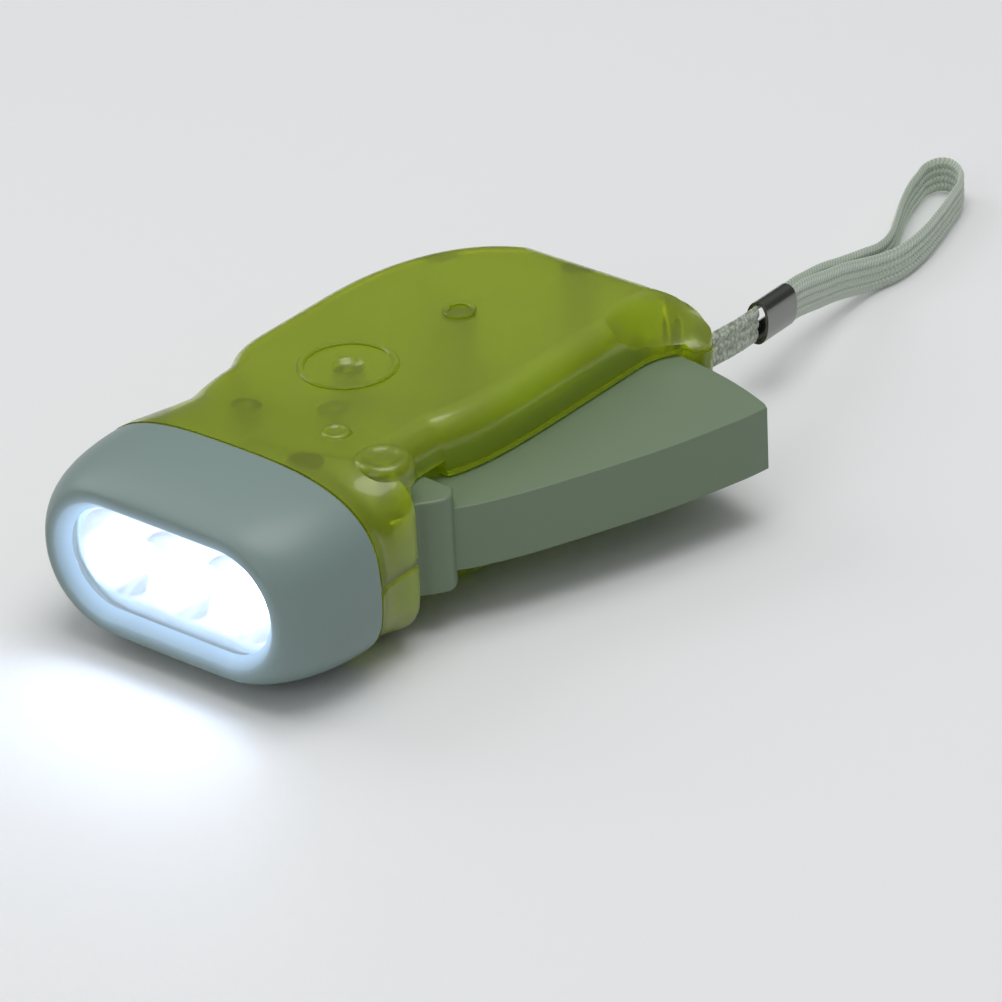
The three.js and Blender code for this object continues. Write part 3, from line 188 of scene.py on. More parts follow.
# each has its colour, roughness, grain scale, grain depth and drift
finishes = {
    "housing": mouldedPlastic("yellowGreenPlastic", (0.6, 0.74, 0.002), 0.33, 900.0, 0.04, 0.06, {
        "Transmission Weight": 0.82, "IOR": 1.46, "Specular IOR Level": 0.3, "Coat Weight": 0.5,
        "Coat Roughness": 0.04}),
    "head": mouldedPlastic("headPlastic", (0.2, 0.275, 0.26), 0.4, 3200.0, 0.16, 0.08),
    "lever": mouldedPlastic("leverPlastic", (0.155, 0.215, 0.135), 0.42, 3200.0, 0.16, 0.08),
    "white": mouldedPlastic("gearPlastic", (0.72, 0.71, 0.66), 0.45, 2600.0, 0.12, 0.08),
    "black": mouldedPlastic("blackPlastic", (0.02, 0.02, 0.022), 0.4, 2600.0, 0.2, 0.1),
    "board": mouldedPlastic("boardLacquer", (0.02, 0.14, 0.05), 0.3, 1500.0, 0.1, 0.2),
    "steel": metal("steelParts", (0.56, 0.56, 0.57), 0.26),
    "crimp": metal("crimpedSheet", (0.22, 0.23, 0.21), 0.2, 900.0, 0.3),
    "darkSteel": metal("blackenedSteel", (0.2, 0.2, 0.21), 0.38),
    "copper": metal("enamelledCopper", (0.62, 0.27, 0.13), 0.32),
    "chrome": metal("chromedCups", (0.86, 0.9, 0.96), 0.2, 700.0, 0.1),
    "red": mouldedPlastic("redInsulation", (0.42, 0.03, 0.02), 0.45, 2600.0, 0.1, 0.1),
}


def clearMaterial():
    # clear window with the hairlines of polished resin, and a faint bluish painted glow that stands in for
    # the lamps' light filling it
    material, tree, shader = newMaterial("lensPlastic", {
        "Base Color": (0.95, 0.97, 1, 1), "Transmission Weight": 1.0, "IOR": 1.49, "Alpha": 0.15,
        "Emission Color": (0.7, 0.82, 1, 1), "Emission Strength": 0.8})
    stretch = addNode(tree, "ShaderNodeMapping", values={"Vector": objectPlace(tree), "Scale": (1, 1, 9)})
    hairs = noise(tree, stretch.outputs["Vector"], 400.0)
    fill(tree, shader, {"Roughness": mapRange(tree, hairs, 0.0, 1.0, 0.02, 0.07)})
    return material


def woundMaterial():
    # enamelled wire laid turn by turn; the ramp darkens the grooves between turns, painted shade
    material, tree, shader = newMaterial("woundWire", {"Metallic": 1.0, "Roughness": 0.3})
    turns = addNode(tree, "ShaderNodeTexWave", {"bands_direction": "Z"}, {
        "Vector": objectPlace(tree), "Scale": 900.0, "Distortion": 0.3}).outputs["Fac"]
    fill(tree, shader, {"Base Color": ramp(tree, turns, (0.16, 0.05, 0.02), (0.68, 0.3, 0.14)),
                        "Normal": bump(tree, turns, 0.8, 0.0001)})
    return material


def litMaterial():
    # the glow of the resin domes, a little uneven
    material, tree, shader = newMaterial("litResin", {
        "Base Color": (0.9, 0.95, 1, 1), "Roughness": 0.1, "Emission Strength": 27.0})
    uneven = noise(tree, objectPlace(tree), 300.0)
    fill(tree, shader, {"Emission Color": ramp(tree, uneven, (0.6, 0.76, 1), (0.8, 0.9, 1))})
    return material


# the lamps' light caught by the sloped mouth: an oval round the beam, in mm
spill = {"straight": 11.4, "inner": 8.2, "outer": 11.9, "centre": 16.1, "behind": -49.5,
         "color": (0.3, 0.42, 0.66)}


def spillLight(material):
    # strongest at the mouth's inner edge
    tree = material.node_tree
    x, y, z = addNode(tree, "ShaderNodeSeparateXYZ", values={0: objectPlace(tree)}).outputs
    beside = calc(tree, "SUBTRACT", calc(tree, "ABSOLUTE", x), spill["straight"] * mm)
    side = calc(tree, "MAXIMUM", beside, 0.0)
    rise = calc(tree, "SUBTRACT", z, spill["centre"] * mm)
    flat = addNode(tree, "ShaderNodeCombineXYZ", values={"X": side, "Y": rise})
    away = addNode(tree, "ShaderNodeVectorMath", {"operation": "LENGTH"}, {0: flat.outputs[0]})
    inner, outer = spill["inner"] * mm, spill["outer"] * mm
    fade = mapRange(tree, away.outputs["Value"], inner, outer, 1.0, 0.0, "SMOOTHSTEP")
    share = calc(tree, "MULTIPLY", fade, calc(tree, "LESS_THAN", y, spill["behind"] * mm))
    fill(tree, tree.nodes["Principled BSDF"], {
        "Emission Color": ramp(tree, share, (0, 0, 0), spill["color"]), "Emission Strength": 1.0})


spillLight(finishes["head"])

# the fabrics' stitches run along u, the length in mm, and v, the share of the way round the section; each
# fabric's darker colour is painted shade, laid in the low places between its stitches
weave = {"color": (0.58, 0.66, 0.56), "dark": (0.4, 0.46, 0.38), "ends": (0.12, 0.75), "fuzz": 0.35,
         "depth": 0.35, "height": 0.0003, "columns": 8.0, "rows": 1.1, "lean": 1.2}
knit = {"color": (0.6, 0.67, 0.55), "dark": (0.27, 0.31, 0.24), "ends": (0.2, 0.85), "fuzz": 0.4,
        "depth": 1.0, "height": 0.0005, "stitch": (1.1, 13.0)}


def leaningRows(tree, uv):
    # rows of stitches that lean to and fro from column to column
    along, around, _ = addNode(tree, "ShaderNodeSeparateXYZ", values={0: uv}).outputs
    column = calc(tree, "PINGPONG", calc(tree, "MULTIPLY", around, weave["columns"]), 0.5)
    rows = calc(tree, "ADD", calc(tree, "MULTIPLY", along, weave["rows"]),
                calc(tree, "MULTIPLY", column, weave["lean"]))
    wave = calc(tree, "SINE", calc(tree, "MULTIPLY", rows, math.tau))
    rounded = calc(tree, "POWER", calc(tree, "MULTIPLY", column, 2.0), 0.5)
    return calc(tree, "MULTIPLY", calc(tree, "MULTIPLY_ADD", wave, 0.5, 0.5), rounded)


def lumps(tree, uv):
    stretch = addNode(tree, "ShaderNodeMapping", values={"Vector": uv, "Scale": (*knit["stitch"], 1)})
    cells = addNode(tree, "ShaderNodeTexVoronoi", {"voronoi_dimensions": "2D"}, {
        "Vector": stretch.outputs["Vector"], "Scale": 1.0, "Randomness": 0.75})
    return mapRange(tree, cells.outputs["Distance"], 0.75, 0.1, 0.0, 0.8)


def fabricMaterial(name, fabric, stitches):
    # fine fuzz over the fabric's own stitches; the ramp darkens their low places, painted shade in the
    # hollows
    material, tree, shader = newMaterial(name, {
        "Roughness": 0.9, "Sheen Weight": 0.35, "Sheen Roughness": 0.5})
    uv = addNode(tree, "ShaderNodeUVMap", {"uv_map": "alongAndRound"}).outputs["UV"]
    fuzz = noise(tree, objectPlace(tree), 4000.0, 3.0)
    height = calc(tree, "MULTIPLY_ADD", fuzz, fabric["fuzz"], stitches(tree, uv))
    fill(tree, shader, {"Base Color": ramp(tree, height, fabric["dark"], fabric["color"], fabric["ends"]),
                        "Normal": bump(tree, height, fabric["depth"], fabric["height"])})
    return material


finishes["clear"] = clearMaterial()
finishes["wound"] = woundMaterial()
finishes["lit"] = litMaterial()
finishes["strap"] = fabricMaterial("strapWeave", weave, leaningRows)
finishes["braid"] = fabricMaterial("tailBraid", knit, lumps)
print("finishes made:", len(finishes))


# mesh helpers

def finishPiece(bm, name, node, finish, smooth, body="housing"):
    mesh = asMesh(bm, name)
    mesh.polygons.foreach_set("use_smooth", [True] * len(mesh.polygons))
    mesh.set_sharp_from_angle(angle=math.radians(smooth))
    mesh.materials.append(finishes[finish])
    piece = addObject(name, mesh)
    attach(piece, body)
    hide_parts(node)
    return piece


def finishShape(bm, name, node, finish, smooth=30, body="housing"):
    # a shape drawn in mm; its flat faces keep their own shading beside the rounded edges
    bmesh.ops.scale(bm, vec=(mm, mm, mm), verts=bm.verts)
    bmesh.ops.remove_doubles(bm, verts=bm.verts, dist=0.000001)
    piece = finishPiece(bm, name, node, finish, smooth, body)
    even = piece.modifiers.new("evenShading", "WEIGHTED_NORMAL")
    even.keep_sharp = True


def vertsOf(geom):
    return [g for g in geom if isinstance(g, bmesh.types.BMVert)]


def faceOut(bm):
    bmesh.ops.recalc_face_normals(bm, faces=bm.faces)
    return bm


def smoothRoute(points, steps):
    # a rounded line through the route's points, with even steps
    data = bpy.data.curves.new("route", "CURVE")
    data.dimensions = "3D"
    spline = data.splines.new("BEZIER")
    spline.bezier_points.add(len(points) - 1)
    spline.resolution_u = 24
    for knot, p in zip(spline.bezier_points, points):
        knot.co = p
        knot.handle_left_type = knot.handle_right_type = "AUTO"
    carrier = addObject("route", data)
    line = carrier.to_mesh()
    dense = [v.co.copy() for v in line.vertices]
    carrier.to_mesh_clear()
    bpy.data.objects.remove(carrier)
    lengths = [0.0]
    for a, b in zip(dense, dense[1:]):
        lengths.append(lengths[-1] + (b - a).length)
    even = []
    k = 0
    for i in range(steps + 1):
        want = lengths[-1] * i / steps
        while k < len(dense) - 2 and lengths[k + 1] < want:
            k += 1
        part = (want - lengths[k]) / max(lengths[k + 1] - lengths[k], 1e-9)
        even.append(dense[k].lerp(dense[k + 1], min(max(part, 0), 1)))
    return even, lengths[-1]


def bandFrames(route):
    # the band's width stands up; its face turns with the route
    frames = []
    for i, p in enumerate(route):
        along = (route[min(i + 1, len(route) - 1)] - route[max(i - 1, 0)]).normalized()
        out = along.cross(Vector((0, 0, 1))).normalized()
        up = out.cross(along)
        turn = Matrix((out, up, along)).transposed().to_4x4()
        frames.append(Matrix.Translation(p) @ turn)
    return frames


def sweep(section, frames, length, begin=0.0):
    # the section is drawn once, then extruded from frame to frame
    bm = bmesh.new()
    uv = bm.loops.layers.uv.new("alongAndRound")
    ring = [bm.verts.new(frames[0] @ Vector((x, y, 0))) for x, y in section]
    count = len(ring)
    edges = [bm.edges.new((ring[i], ring[(i + 1) % count])) for i in range(count)]
    bm.faces.new(ring)
    rings = [ring]
    for before, after in zip(frames, frames[1:]):
        made = bmesh.ops.extrude_edge_only(bm, edges=edges)["geom"]
        verts = vertsOf(made)
        edges = [g for g in made if isinstance(g, bmesh.types.BMEdge) and all(v in verts for v in g.verts)]
        bmesh.ops.transform(bm, matrix=after @ before.inverted(), verts=verts)
        rings.append(verts)
    bmesh.ops.contextual_create(bm, geom=edges)
    # length along the route in mm, and the share of the way round the section
    starts = [f.inverted() for f in frames]
    order = {v: i for i, r in enumerate(rings) for v in r}
    for face in bm.faces:
        rounds = []
        for loop in face.loops:
            local = (starts[order[loop.vert]] @ loop.vert.co).to_2d()
            gaps = [(Vector(corner) - local).length_squared for corner in section]
            rounds.append(gaps.index(min(gaps)) / count)
        if max(rounds) - min(rounds) > 0.5:
            rounds = [r + 1 if r < 0.5 else r for r in rounds]
        for loop, part in zip(face.loops, rounds):
            loop[uv].uv = ((begin + length * order[loop.vert] / (len(frames) - 1)) / mm, part)
    return faceOut(bm)


# strap

strap = {
    "width": 6.6 * mm, "thickness": 1.1 * mm, "ribs": 4, "ribDepth": 0.28 * mm, "steps": 190, "tipStep": 95,
    "tailRibs": 3, "tailSteps": 60, "tailWidth": 6.402 * mm, "tailThickness": 1.21 * mm,
    "route": [(19.4, 82.2, 11.6), (18.9, 84.8, 11.3), (18, 89, 10.2), (17, 94, 8.7), (16, 101, 6.9),
              (15.4, 107.5, 4.9), (15.4, 112.5, 3.7), (16.2, 117.4, 3.5), (15.8, 124.2, 3.5), (14, 132, 3.5),
              (11.9, 139, 3.5), (9.6, 145.2, 3.5), (6.4, 149, 3.5), (3.2, 149.6, 3.5), (1.7, 147, 3.5),
              (2.6, 142, 3.5), (5, 135, 3.5), (8.9, 127, 3.5), (12, 120.5, 3.6), (13.2, 115.5, 4),
              (13.7, 110, 5.2), (14.4, 102.5, 7), (15.2, 95.5, 8.9), (16.3, 89, 10.3), (17.3, 84.8, 11.3),
              (17.8, 82.2, 11.6)],
    "tailRoute": [(22.4, 49.4, 15.1), (22.1, 53, 15.1), (22, 58, 14.9), (21.5, 64, 14.1), (20.1, 71.6, 12.9)],
}


def ribbedSection(width, thickness, ribs, depth, fine=6):
    # both faces carry rounded ribs; the ends are half round
    half = width / 2 - thickness / 2
    points = []
    for side in (1, -1):
        for k in range(ribs * fine + 1):
            y = half * (1 - 2 * k / (ribs * fine)) * side
            swell = abs(math.sin(math.pi * k / fine)) ** 0.7
            points.append((side * (thickness / 2 - depth * (1 - swell)), y))
        for turn in (math.pi * k / 4 for k in range(1, 4)):
            end = half + math.sin(turn) * thickness / 2
            points.append((side * math.cos(turn) * (thickness / 2 - depth), -side * end))
    return points


def addStrap():
    route, length = smoothRoute([Vector(p) * mm for p in strap["route"]], strap["steps"])
    section = ribbedSection(strap["width"], strap["thickness"], strap["ribs"], strap["ribDepth"])
    # the band lies against itself, so its way out and its way back are two pieces that meet at the loop's tip
    frames = bandFrames(route)
    tip = strap["tipStep"]
    outLength = length * tip / strap["steps"]
    bm = sweep(section, frames[:tip + 1], outLength)
    bandOut = finishPiece(bm, "wristBandOut", "wrist_strap", "strap", 60)
    bm = sweep(section, frames[tip:], length - outLength, begin=outLength)
    bandBack = finishPiece(bm, "wristBandBack", "wrist_strap", "strap", 60)
    tail, tailLength = smoothRoute([Vector(p) * mm for p in strap["tailRoute"]], strap["tailSteps"])
    section = ribbedSection(strap["tailWidth"], strap["tailThickness"], strap["tailRibs"],
                            strap["ribDepth"], 5)
    bm = sweep(section, bandFrames(tail), tailLength)
    braid = finishPiece(bm, "tailBraid", "strap_tail", "braid", 60)
    return bandOut, bandBack, route, length, braid


crimp = {
    "route": [(20.1, 72.0, 12.8), (18.7, 81.8, 11.7)], "steps": 6, "width": 7.4 * mm, "thickness": 4.2 * mm,
    "wall": 0.5 * mm, "squareness": 2.3, "from": 200, "turn": 320, "sides": 24,
}


def addCrimp():
    # flattened sleeve, open along its far face
    w, t, wall, power = crimp["width"] / 2, crimp["thickness"] / 2, crimp["wall"], crimp["squareness"]
    outer = []
    for k in range(crimp["sides"] + 1):
        turn = math.radians(crimp["from"] + crimp["turn"] * k / crimp["sides"])
        c, s = math.cos(turn), math.sin(turn)
        size = (abs(c) ** power + abs(s) ** power) ** (-1 / power)
        outer.append((t * c * size, w * s * size))
    inner = [(x * (1 - wall / t), y * (1 - wall / w)) for x, y in reversed(outer)]
    start, end = (Vector(p) * mm for p in crimp["route"])
    route = [start.lerp(end, k / crimp["steps"]) for k in range(crimp["steps"] + 1)]
    bm = sweep(outer + inner, bandFrames(route), (end - start).length)
    return finishPiece(bm, "crimpSleeve", "strap_crimp", "crimp", 40)


bandOut, bandBack, bandRoute, bandLength, braid = addStrap()
sleeve = addCrimp()
print("strap made, length in mm:", round(bandLength / mm, 1))


# shape helpers: these work in mm, and finishShape brings the result to metres

past = 5        # how far a tool reaches past what it cuts

def carve(bm, tools, operation="DIFFERENCE"):
    # the exact Boolean of Blender, applied at once, so that no tool is left in the scene
    body = addObject("blank", asMesh(bm, "blank"))
    helpers = [body]
    for tool in tools:
        helper = addObject("tool", asMesh(tool, "tool"))
        step = body.modifiers.new("step", "BOOLEAN")
        step.operation = operation
        step.solver = "EXACT"
        step.object = helper
        helpers.append(helper)
    seen = body.evaluated_get(bpy.context.evaluated_depsgraph_get())
    result = bmesh.new()
    result.from_mesh(seen.to_mesh())
    seen.to_mesh_clear()
    for helper in helpers:
        mesh = helper.data
        bpy.data.objects.remove(helper)
        bpy.data.meshes.remove(mesh)
    return result


def together(*parts):
    # several closed shapes that don't touch, as one tool
    whole = bmesh.new()
    for part in parts:
        mesh = asMesh(part, "part")
        whole.from_mesh(mesh)
        bpy.data.meshes.remove(mesh)
    return whole


def rod(place, radius, low, high, sides=48):
    bm = bmesh.new()
    middle = Matrix.Translation((place[0], place[1], (low + high) / 2))
    bmesh.ops.create_cone(bm, cap_ends=True, segments=sides, radius1=radius, radius2=radius,
                          depth=high - low, matrix=middle)
    return bm


def block(low, high):
    bm = bmesh.new()
    middle = [(a + b) / 2 for a, b in zip(low, high)]
    bmesh.ops.create_cube(bm, size=1, matrix=Matrix.Translation(middle))
    bmesh.ops.scale(bm, vec=[b - a for a, b in zip(low, high)], verts=bm.verts,
                    space=Matrix.Translation([-m for m in middle]))
    return bm


def roundOff(bm, geom, size, segments, affect="EDGES"):
    bmesh.ops.bevel(bm, geom=geom, offset=size, offset_type="OFFSET", segments=segments, profile=0.5,
                    affect=affect, material=-1, clamp_overlap=True)


def prism(plan, low, high, edge=0, edgeHeight=None, ends=(1, -1), segments=4):
    # a flat plan raised to its height; the rounding may be taller than it is wide
    bm = bmesh.new()
    face = bm.faces.new([bm.verts.new((x, y, low)) for x, y in plan])
    raised = bmesh.ops.extrude_face_region(bm, geom=[face])["geom"]
    bmesh.ops.translate(bm, vec=(0, 0, high - low), verts=vertsOf(raised))
    faceOut(bm)
    if edge:
        squash = edge / (edgeHeight or edge)
        bmesh.ops.scale(bm, vec=(1, 1, squash), verts=bm.verts)
        rims = [e for e in bm.edges if any(f.normal.z * end > 0.9 for f in e.link_faces for end in ends)]
        roundOff(bm, rims, edge, segments)
        bmesh.ops.scale(bm, vec=(1, 1, 1 / squash), verts=bm.verts)
    return bm


def turned(profile, place=(0, 0, 0), alongBeam=False, steps=64, closed=False):
    # a profile of radius and height, spun once round its axis
    bm = bmesh.new()
    verts = [bm.verts.new((radius, 0, height)) for radius, height in profile]
    edges = [bm.edges.new(pair) for pair in zip(verts, verts[1:])]
    if closed:
        edges.append(bm.edges.new((verts[-1], verts[0])))
    bmesh.ops.spin(bm, geom=verts + edges, cent=(0, 0, 0), axis=(0, 0, 1), angle=math.tau, steps=steps,
                   use_merge=True, use_duplicate=False)
    bmesh.ops.remove_doubles(bm, verts=bm.verts, dist=0.0005)
    if alongBeam:
        bmesh.ops.rotate(bm, cent=(0, 0, 0), matrix=Matrix.Rotation(-math.pi / 2, 3, "X"), verts=bm.verts)
    bmesh.ops.translate(bm, vec=place, verts=bm.verts)
    return faceOut(bm)


def skin(rings):
    # a grid bent over rings of equal length; rings that end in a line or a point close it
    count, rows = len(rings[0]), len(rings) - 1
    bm = bmesh.new()
    bmesh.ops.create_grid(bm, x_segments=count, y_segments=rows, size=1)
    for v in bm.verts:
        i = round((v.co.x + 1) / 2 * count) % count
        j = round((v.co.y + 1) / 2 * rows)
        v.co = rings[j][i]
    bmesh.ops.remove_doubles(bm, verts=bm.verts, dist=0.0005)
    bmesh.ops.dissolve_degenerate(bm, edges=bm.edges, dist=0.0005)
    return faceOut(bm)


def mix(a, b, share):
    return a + (b - a) * share


def ease(value, start, end):
    share = min(max((value - start) / (end - start), 0), 1)
    return share * share * (3 - 2 * share)


def onCircle(centre, radius, degrees):
    turn = math.radians(degrees)
    return (centre[0] + radius * math.cos(turn), centre[1] + radius * math.sin(turn))


def arc(centre, radius, start, end, steps):
    return [onCircle(centre, radius, mix(start, end, k / steps)) for k in range(steps + 1)]


def quarter(steps):
    return [math.pi / 2 * k / steps for k in range(steps + 1)]


def throughPoints(points):
    # curve pieces with even handles through the points
    pieces = []
    ends = [points[0]] + list(points) + [points[-1]]
    for near in zip(ends, ends[1:], ends[2:], ends[3:]):
        before, start, end, after = (Vector(p) for p in near)
        pieces.append((end, start + (end - before) / 6, end - (after - start) / 6))
    return pieces


def drawn(start, pieces, gap=0.8):
    # walks the pieces, each an end and maybe two handles, in even steps
    points = [Vector(start).to_2d()]
    for piece in pieces:
        a, d = points[-1], Vector(piece[0]).to_2d()
        b, c = [Vector(p).to_2d() for p in piece[1:]] or (a.lerp(d, 1 / 3), a.lerp(d, 2 / 3))
        steps = max(2, math.ceil((d - a).length / gap) + 1)
        points += [Vector(p).to_2d() for p in interpolate_bezier(a, b, c, d, steps)[1:]]
    return points


# housing

seam, top, wall = 15.1, 30.2, 1.6
pivot = (19.6, -21.8)

housing = {
    "halfHeight": 15.1, "headRise": 2.0, "gap": 0.3, "edge": 5.0, "jointY": -33.75, "headWidth": 28.5,
    "spineRear": 24.0, "flareFrom": -12.0, "flareBoss": -20.0, "flareTo": -31.0, "headPower": 2 / 3,
    "headReach": 0.97, "lip": 0.4, "band": 1.3, "bandEdge": 0.08, "roundSteps": 14, "insideSteps": 6,
    "stationGap": 0.6, "frontBox": ((-60, -110, -6), (60, 40)), "tail": 50.9, "strapPin": (22, 48.1),
    "planStart": (28.5, -38.75),
    "planNeck": [((28.5, -33.75),), ((27.3, -30.75),), ((27.3, -24.4),),
                 ((25.7, -22.8), (27.3, -23.333), (26.767, -22.8))],
    "planCorner": [(25.7, -22.8), (24.1, -20.7), (21.1, -17.7), (20.0, -15.4), (19.8, -12.5)],
    "planRest": [((19.8, -7.5),), ((22.7, 16), (21.4, -3.74), (22.7, 0.02)), ((22.7, 44.4),),
                 ((16.2, 50.9), (22.7, 48.733), (20.533, 50.9)), ((0, 50.9),),
                 ((-25.9, 16), (-14, 50.9), (-25.9, 39.383)), ((-25.9, 0),),
                 ((-22.6, -12.5), (-25.9, -7.5), (-22.6, -7.5)), ((-22.6, -20),),
                 ((-28.5, -33.75), (-22.6, -23.2), (-28.5, -27.75)), ((-28.5, -38.75),)],
    "axes": {"first": (-9.450274, -20.099535), "second": (1.879305, -12.396897), "rotor": (-4.6, -1.3),
             "pivot": pivot},
    "screws": [(-1.7, 22.743), (-17.6, 37.283), (3.5, 46.4), (-20.6, -28.4), (10.5, -29.0)],
}


def planOutline(inset):
    pieces = housing["planNeck"] + throughPoints(housing["planCorner"]) + housing["planRest"]
    points = drawn(housing["planStart"], pieces)
    points = [p for p, q in zip(points, points[1:] + points[:1]) if (p - q).length > 0.001]
    return insetPlan(points, inset) if inset else points


def insetPlan(plan, inset):
    # moved inwards by a wall, less the corners that would fold back
    points = [Vector(p) for p in plan]
    moved = []
    for before, p, after in zip(points[-1:] + points, points, points[1:] + points[:1]):
        one = Vector((p.y - before.y, before.x - p.x)).normalized()
        two = Vector((after.y - p.y, p.x - after.x)).normalized()
        middle = (one + two).normalized()
        moved.append(p - middle * inset / max(middle.dot(one), 0.5))
    pairs = zip(points, points[1:] + points[:1], moved, moved[1:] + moved[:1])
    return [q for p, after, q, following in pairs if (following - q).dot(after - p) > 0]


def crossing(points, y, side):
    passes = []
    for a, b in zip(points, points[1:]):
        if a.x * side > 0 and b.x * side > 0 and min(a.y, b.y) <= y <= max(a.y, b.y) and a.y != b.y:
            passes.append(abs(mix(a.x, b.x, (y - a.y) / (b.y - a.y))))
    if not passes:
        return points[0 if side > 0 else -1].x
    return side * min(passes)


def pairedOutline(inset):
    # the same stations left and right of the spine, so that the flat top closes on it
    points = planOutline(inset)
    places = sorted(p.y for p in planOutline(0) if p.y < housing["spineRear"])
    stations = places[:1]
    for y in places:
        if y - stations[-1] > housing["stationGap"]:
            stations.append(y)
    right = [Vector((crossing(points, y, 1), y)) for y in stations]
    left = [Vector((crossing(points, y, -1), y)) for y in reversed(stations)]
    return right + [p for p in points if p.y > housing["spineRear"]] + left


def headLift(side, y, rear):
    return housing["headRise"] * (1 - ease(y, housing["jointY"], rear)) if side > 0 else 0


def pillow(side, inset, steps):
    # one half of the housing as a filled form: body with rounded edges, head with a fuller, rounder section
    outline = pairedOutline(inset)
    radius = housing["edge"] - inset / 2
    power = housing["headPower"]
    middles = [Vector((0, min(p.y, housing["spineRear"]))) for p in outline]
    lip = 0 if inset else housing["lip"]
    band = housing["band"] if side > 0 else 0
    # levels of the turn, what the lip draws in and the height over the seam; the cavity starts past the seam
    if inset:
        levels = [(0, 0, -past)]
    elif band:
        levels = [(0, lip, 0), (0, lip, band), (0, 0, band + housing["bandEdge"])]
    else:
        levels = [(0, lip, 0), (0, 0, lip)]
    levels += [(turn, 0, None) for turn in quarter(steps)]
    rings = []
    for turn, pull, height in levels:
        ring = []
        for p, middle in zip(outline, middles):
            across = (p - middle).length
            inward, up = pull / across, height
            if height is None:
                boss = p.x > 0 and side > 0
                rear = housing["flareBoss" if boss else "flareFrom"]
                blend = 1 - ease(p.y, housing["flareTo"], rear)
                full = housing["halfHeight"] + headLift(side, p.y, rear) - inset
                headIn = across * housing["headReach"] * (1 - math.cos(turn) ** power)
                inward = mix(radius * (1 - math.cos(turn)), headIn, blend) / across
                headUp = max(full * math.sin(turn) ** power, band + lip)
                up = mix(full - radius + radius * math.sin(turn), headUp, blend)
            flat = p.lerp(middle, inward)
            ring.append(Vector((*flat, seam + side * up)))
        rings.append(ring)
    # the spine rises evenly to the head, and the lever's side only in front of the boss
    low = [Vector((*m, v.z)) for m, v in zip(middles, rings[0])]
    high = []
    for m in middles:
        up = housing["halfHeight"] - inset + headLift(side, m.y, housing["flareFrom"])
        high.append(Vector((*m, seam + side * up)))
    return skin([low] + rings + [high])


hook = {
    "root": 16, "front": 37.5, "rim": 22.7, "flat": 26.0, "tip": 27.2, "tipRadius": 2.0, "reach": 67.3,
    "leave": 19.45, "bevel": 0.8, "bevelHeight": 1.6, "crown": 7.0,
    "dish": {"place": (29.6, 40.0), "low": 7.0, "flat": 4.6, "radius": 12.4, "long": 1.18, "blend": 2.4,
             "wallShare": 0.55},
    # the cutting sheet: its stations, its clearance behind and above, and its height as a block
    "columns": [-60, 0, 6, 10] + [12 + 0.75 * k for k in range(29)],
    "rows": [24 + 0.75 * k for k in range(36)] + [50.7, 50.95, 60],
    "behind": 0.05, "above": 0.02, "block": 9,
}


def hookPlan():
    # its front edge follows the lever's tail, and its rounded tip runs back to the housing's end
    reach, tipRadius, back = hook["reach"], hook["tipRadius"], housing["tail"]
    frontY = pivot[1] + math.sqrt(reach ** 2 - (hook["flat"] - pivot[0]) ** 2)
    corner = (hook["rim"], hook["front"])
    pull = Vector((corner[0], frontY - 2 * wall))
    start, end = Vector(corner), Vector((hook["flat"], frontY))
    lead = drawn(corner, [(end, start.lerp(pull, 2 / 3), end.lerp(pull, 2 / 3))])
    turn = math.acos((hook["tip"] - pivot[0]) / reach)
    centre = Vector([p + (reach + tipRadius) * c for p, c in zip(pivot, (math.cos(turn), math.sin(turn)))])
    leave = Vector((hook["leave"], back))
    toLeave = leave - centre
    stop = math.atan2(toLeave.y, toLeave.x) - math.acos(tipRadius / toLeave.length)
    first = turn - math.pi
    while stop < first:
        stop += math.tau
    tip = arc(centre, tipRadius, math.degrees(first), math.degrees(stop), 12)
    return [(hook["root"], back), (hook["root"], hook["front"])] + lead + tip + [leave]


def hookBlock(side):
    low, high = sorted((seam, seam + side * housing["halfHeight"]))
    return prism(hookPlan(), low, high, hook["bevel"], hook["bevelHeight"], (side,), 6)


def tailCutter(side, inset):
    # what the rounded tail end and the dish over the hook take off, in one smooth sheet raised to a block
    far, back, dish = housing["halfHeight"] - inset, housing["tail"] + hook["behind"] - inset, hook["dish"]
    crown = hook["crown"] - inset
    start, end = (radius + inset * dish["wallShare"] for radius in (dish["flat"], dish["radius"]))
    columns, rows = hook["columns"], hook["rows"]
    bm = bmesh.new()
    bmesh.ops.create_grid(bm, x_segments=len(columns) - 1, y_segments=len(rows) - 1, size=1)
    for v in bm.verts:
        x = columns[round((v.co.x + 1) / 2 * (len(columns) - 1))]
        y = rows[round((v.co.y + 1) / 2 * (len(rows) - 1))]
        over = min(max(y - (back - crown), 0), crown)
        fall = crown - math.sqrt(crown ** 2 - over ** 2)
        away = math.hypot(x - dish["place"][0], (y - dish["place"][1]) / dish["long"])
        sink = (far - dish["low"] + inset) * (1 - ease(away, start, end))
        taken = (fall ** dish["blend"] + sink ** dish["blend"]) ** (1 / dish["blend"])
        v.co = (x, y, seam + side * (far + hook["above"] - taken))
    for v in vertsOf(bmesh.ops.extrude_face_region(bm, geom=bm.faces[:])["geom"]):
        v.co.z = seam + side * (far + hook["block"])
    return faceOut(bm)


def bowl(place, radius, depth):
    # a shallow round dimple in the top
    size = (radius ** 2 + depth ** 2) / (2 * depth)
    bm = bmesh.new()
    bmesh.ops.create_uvsphere(bm, u_segments=48, v_segments=32, radius=size,
                              matrix=Matrix.Translation((*place, top - depth + size)))
    return bm


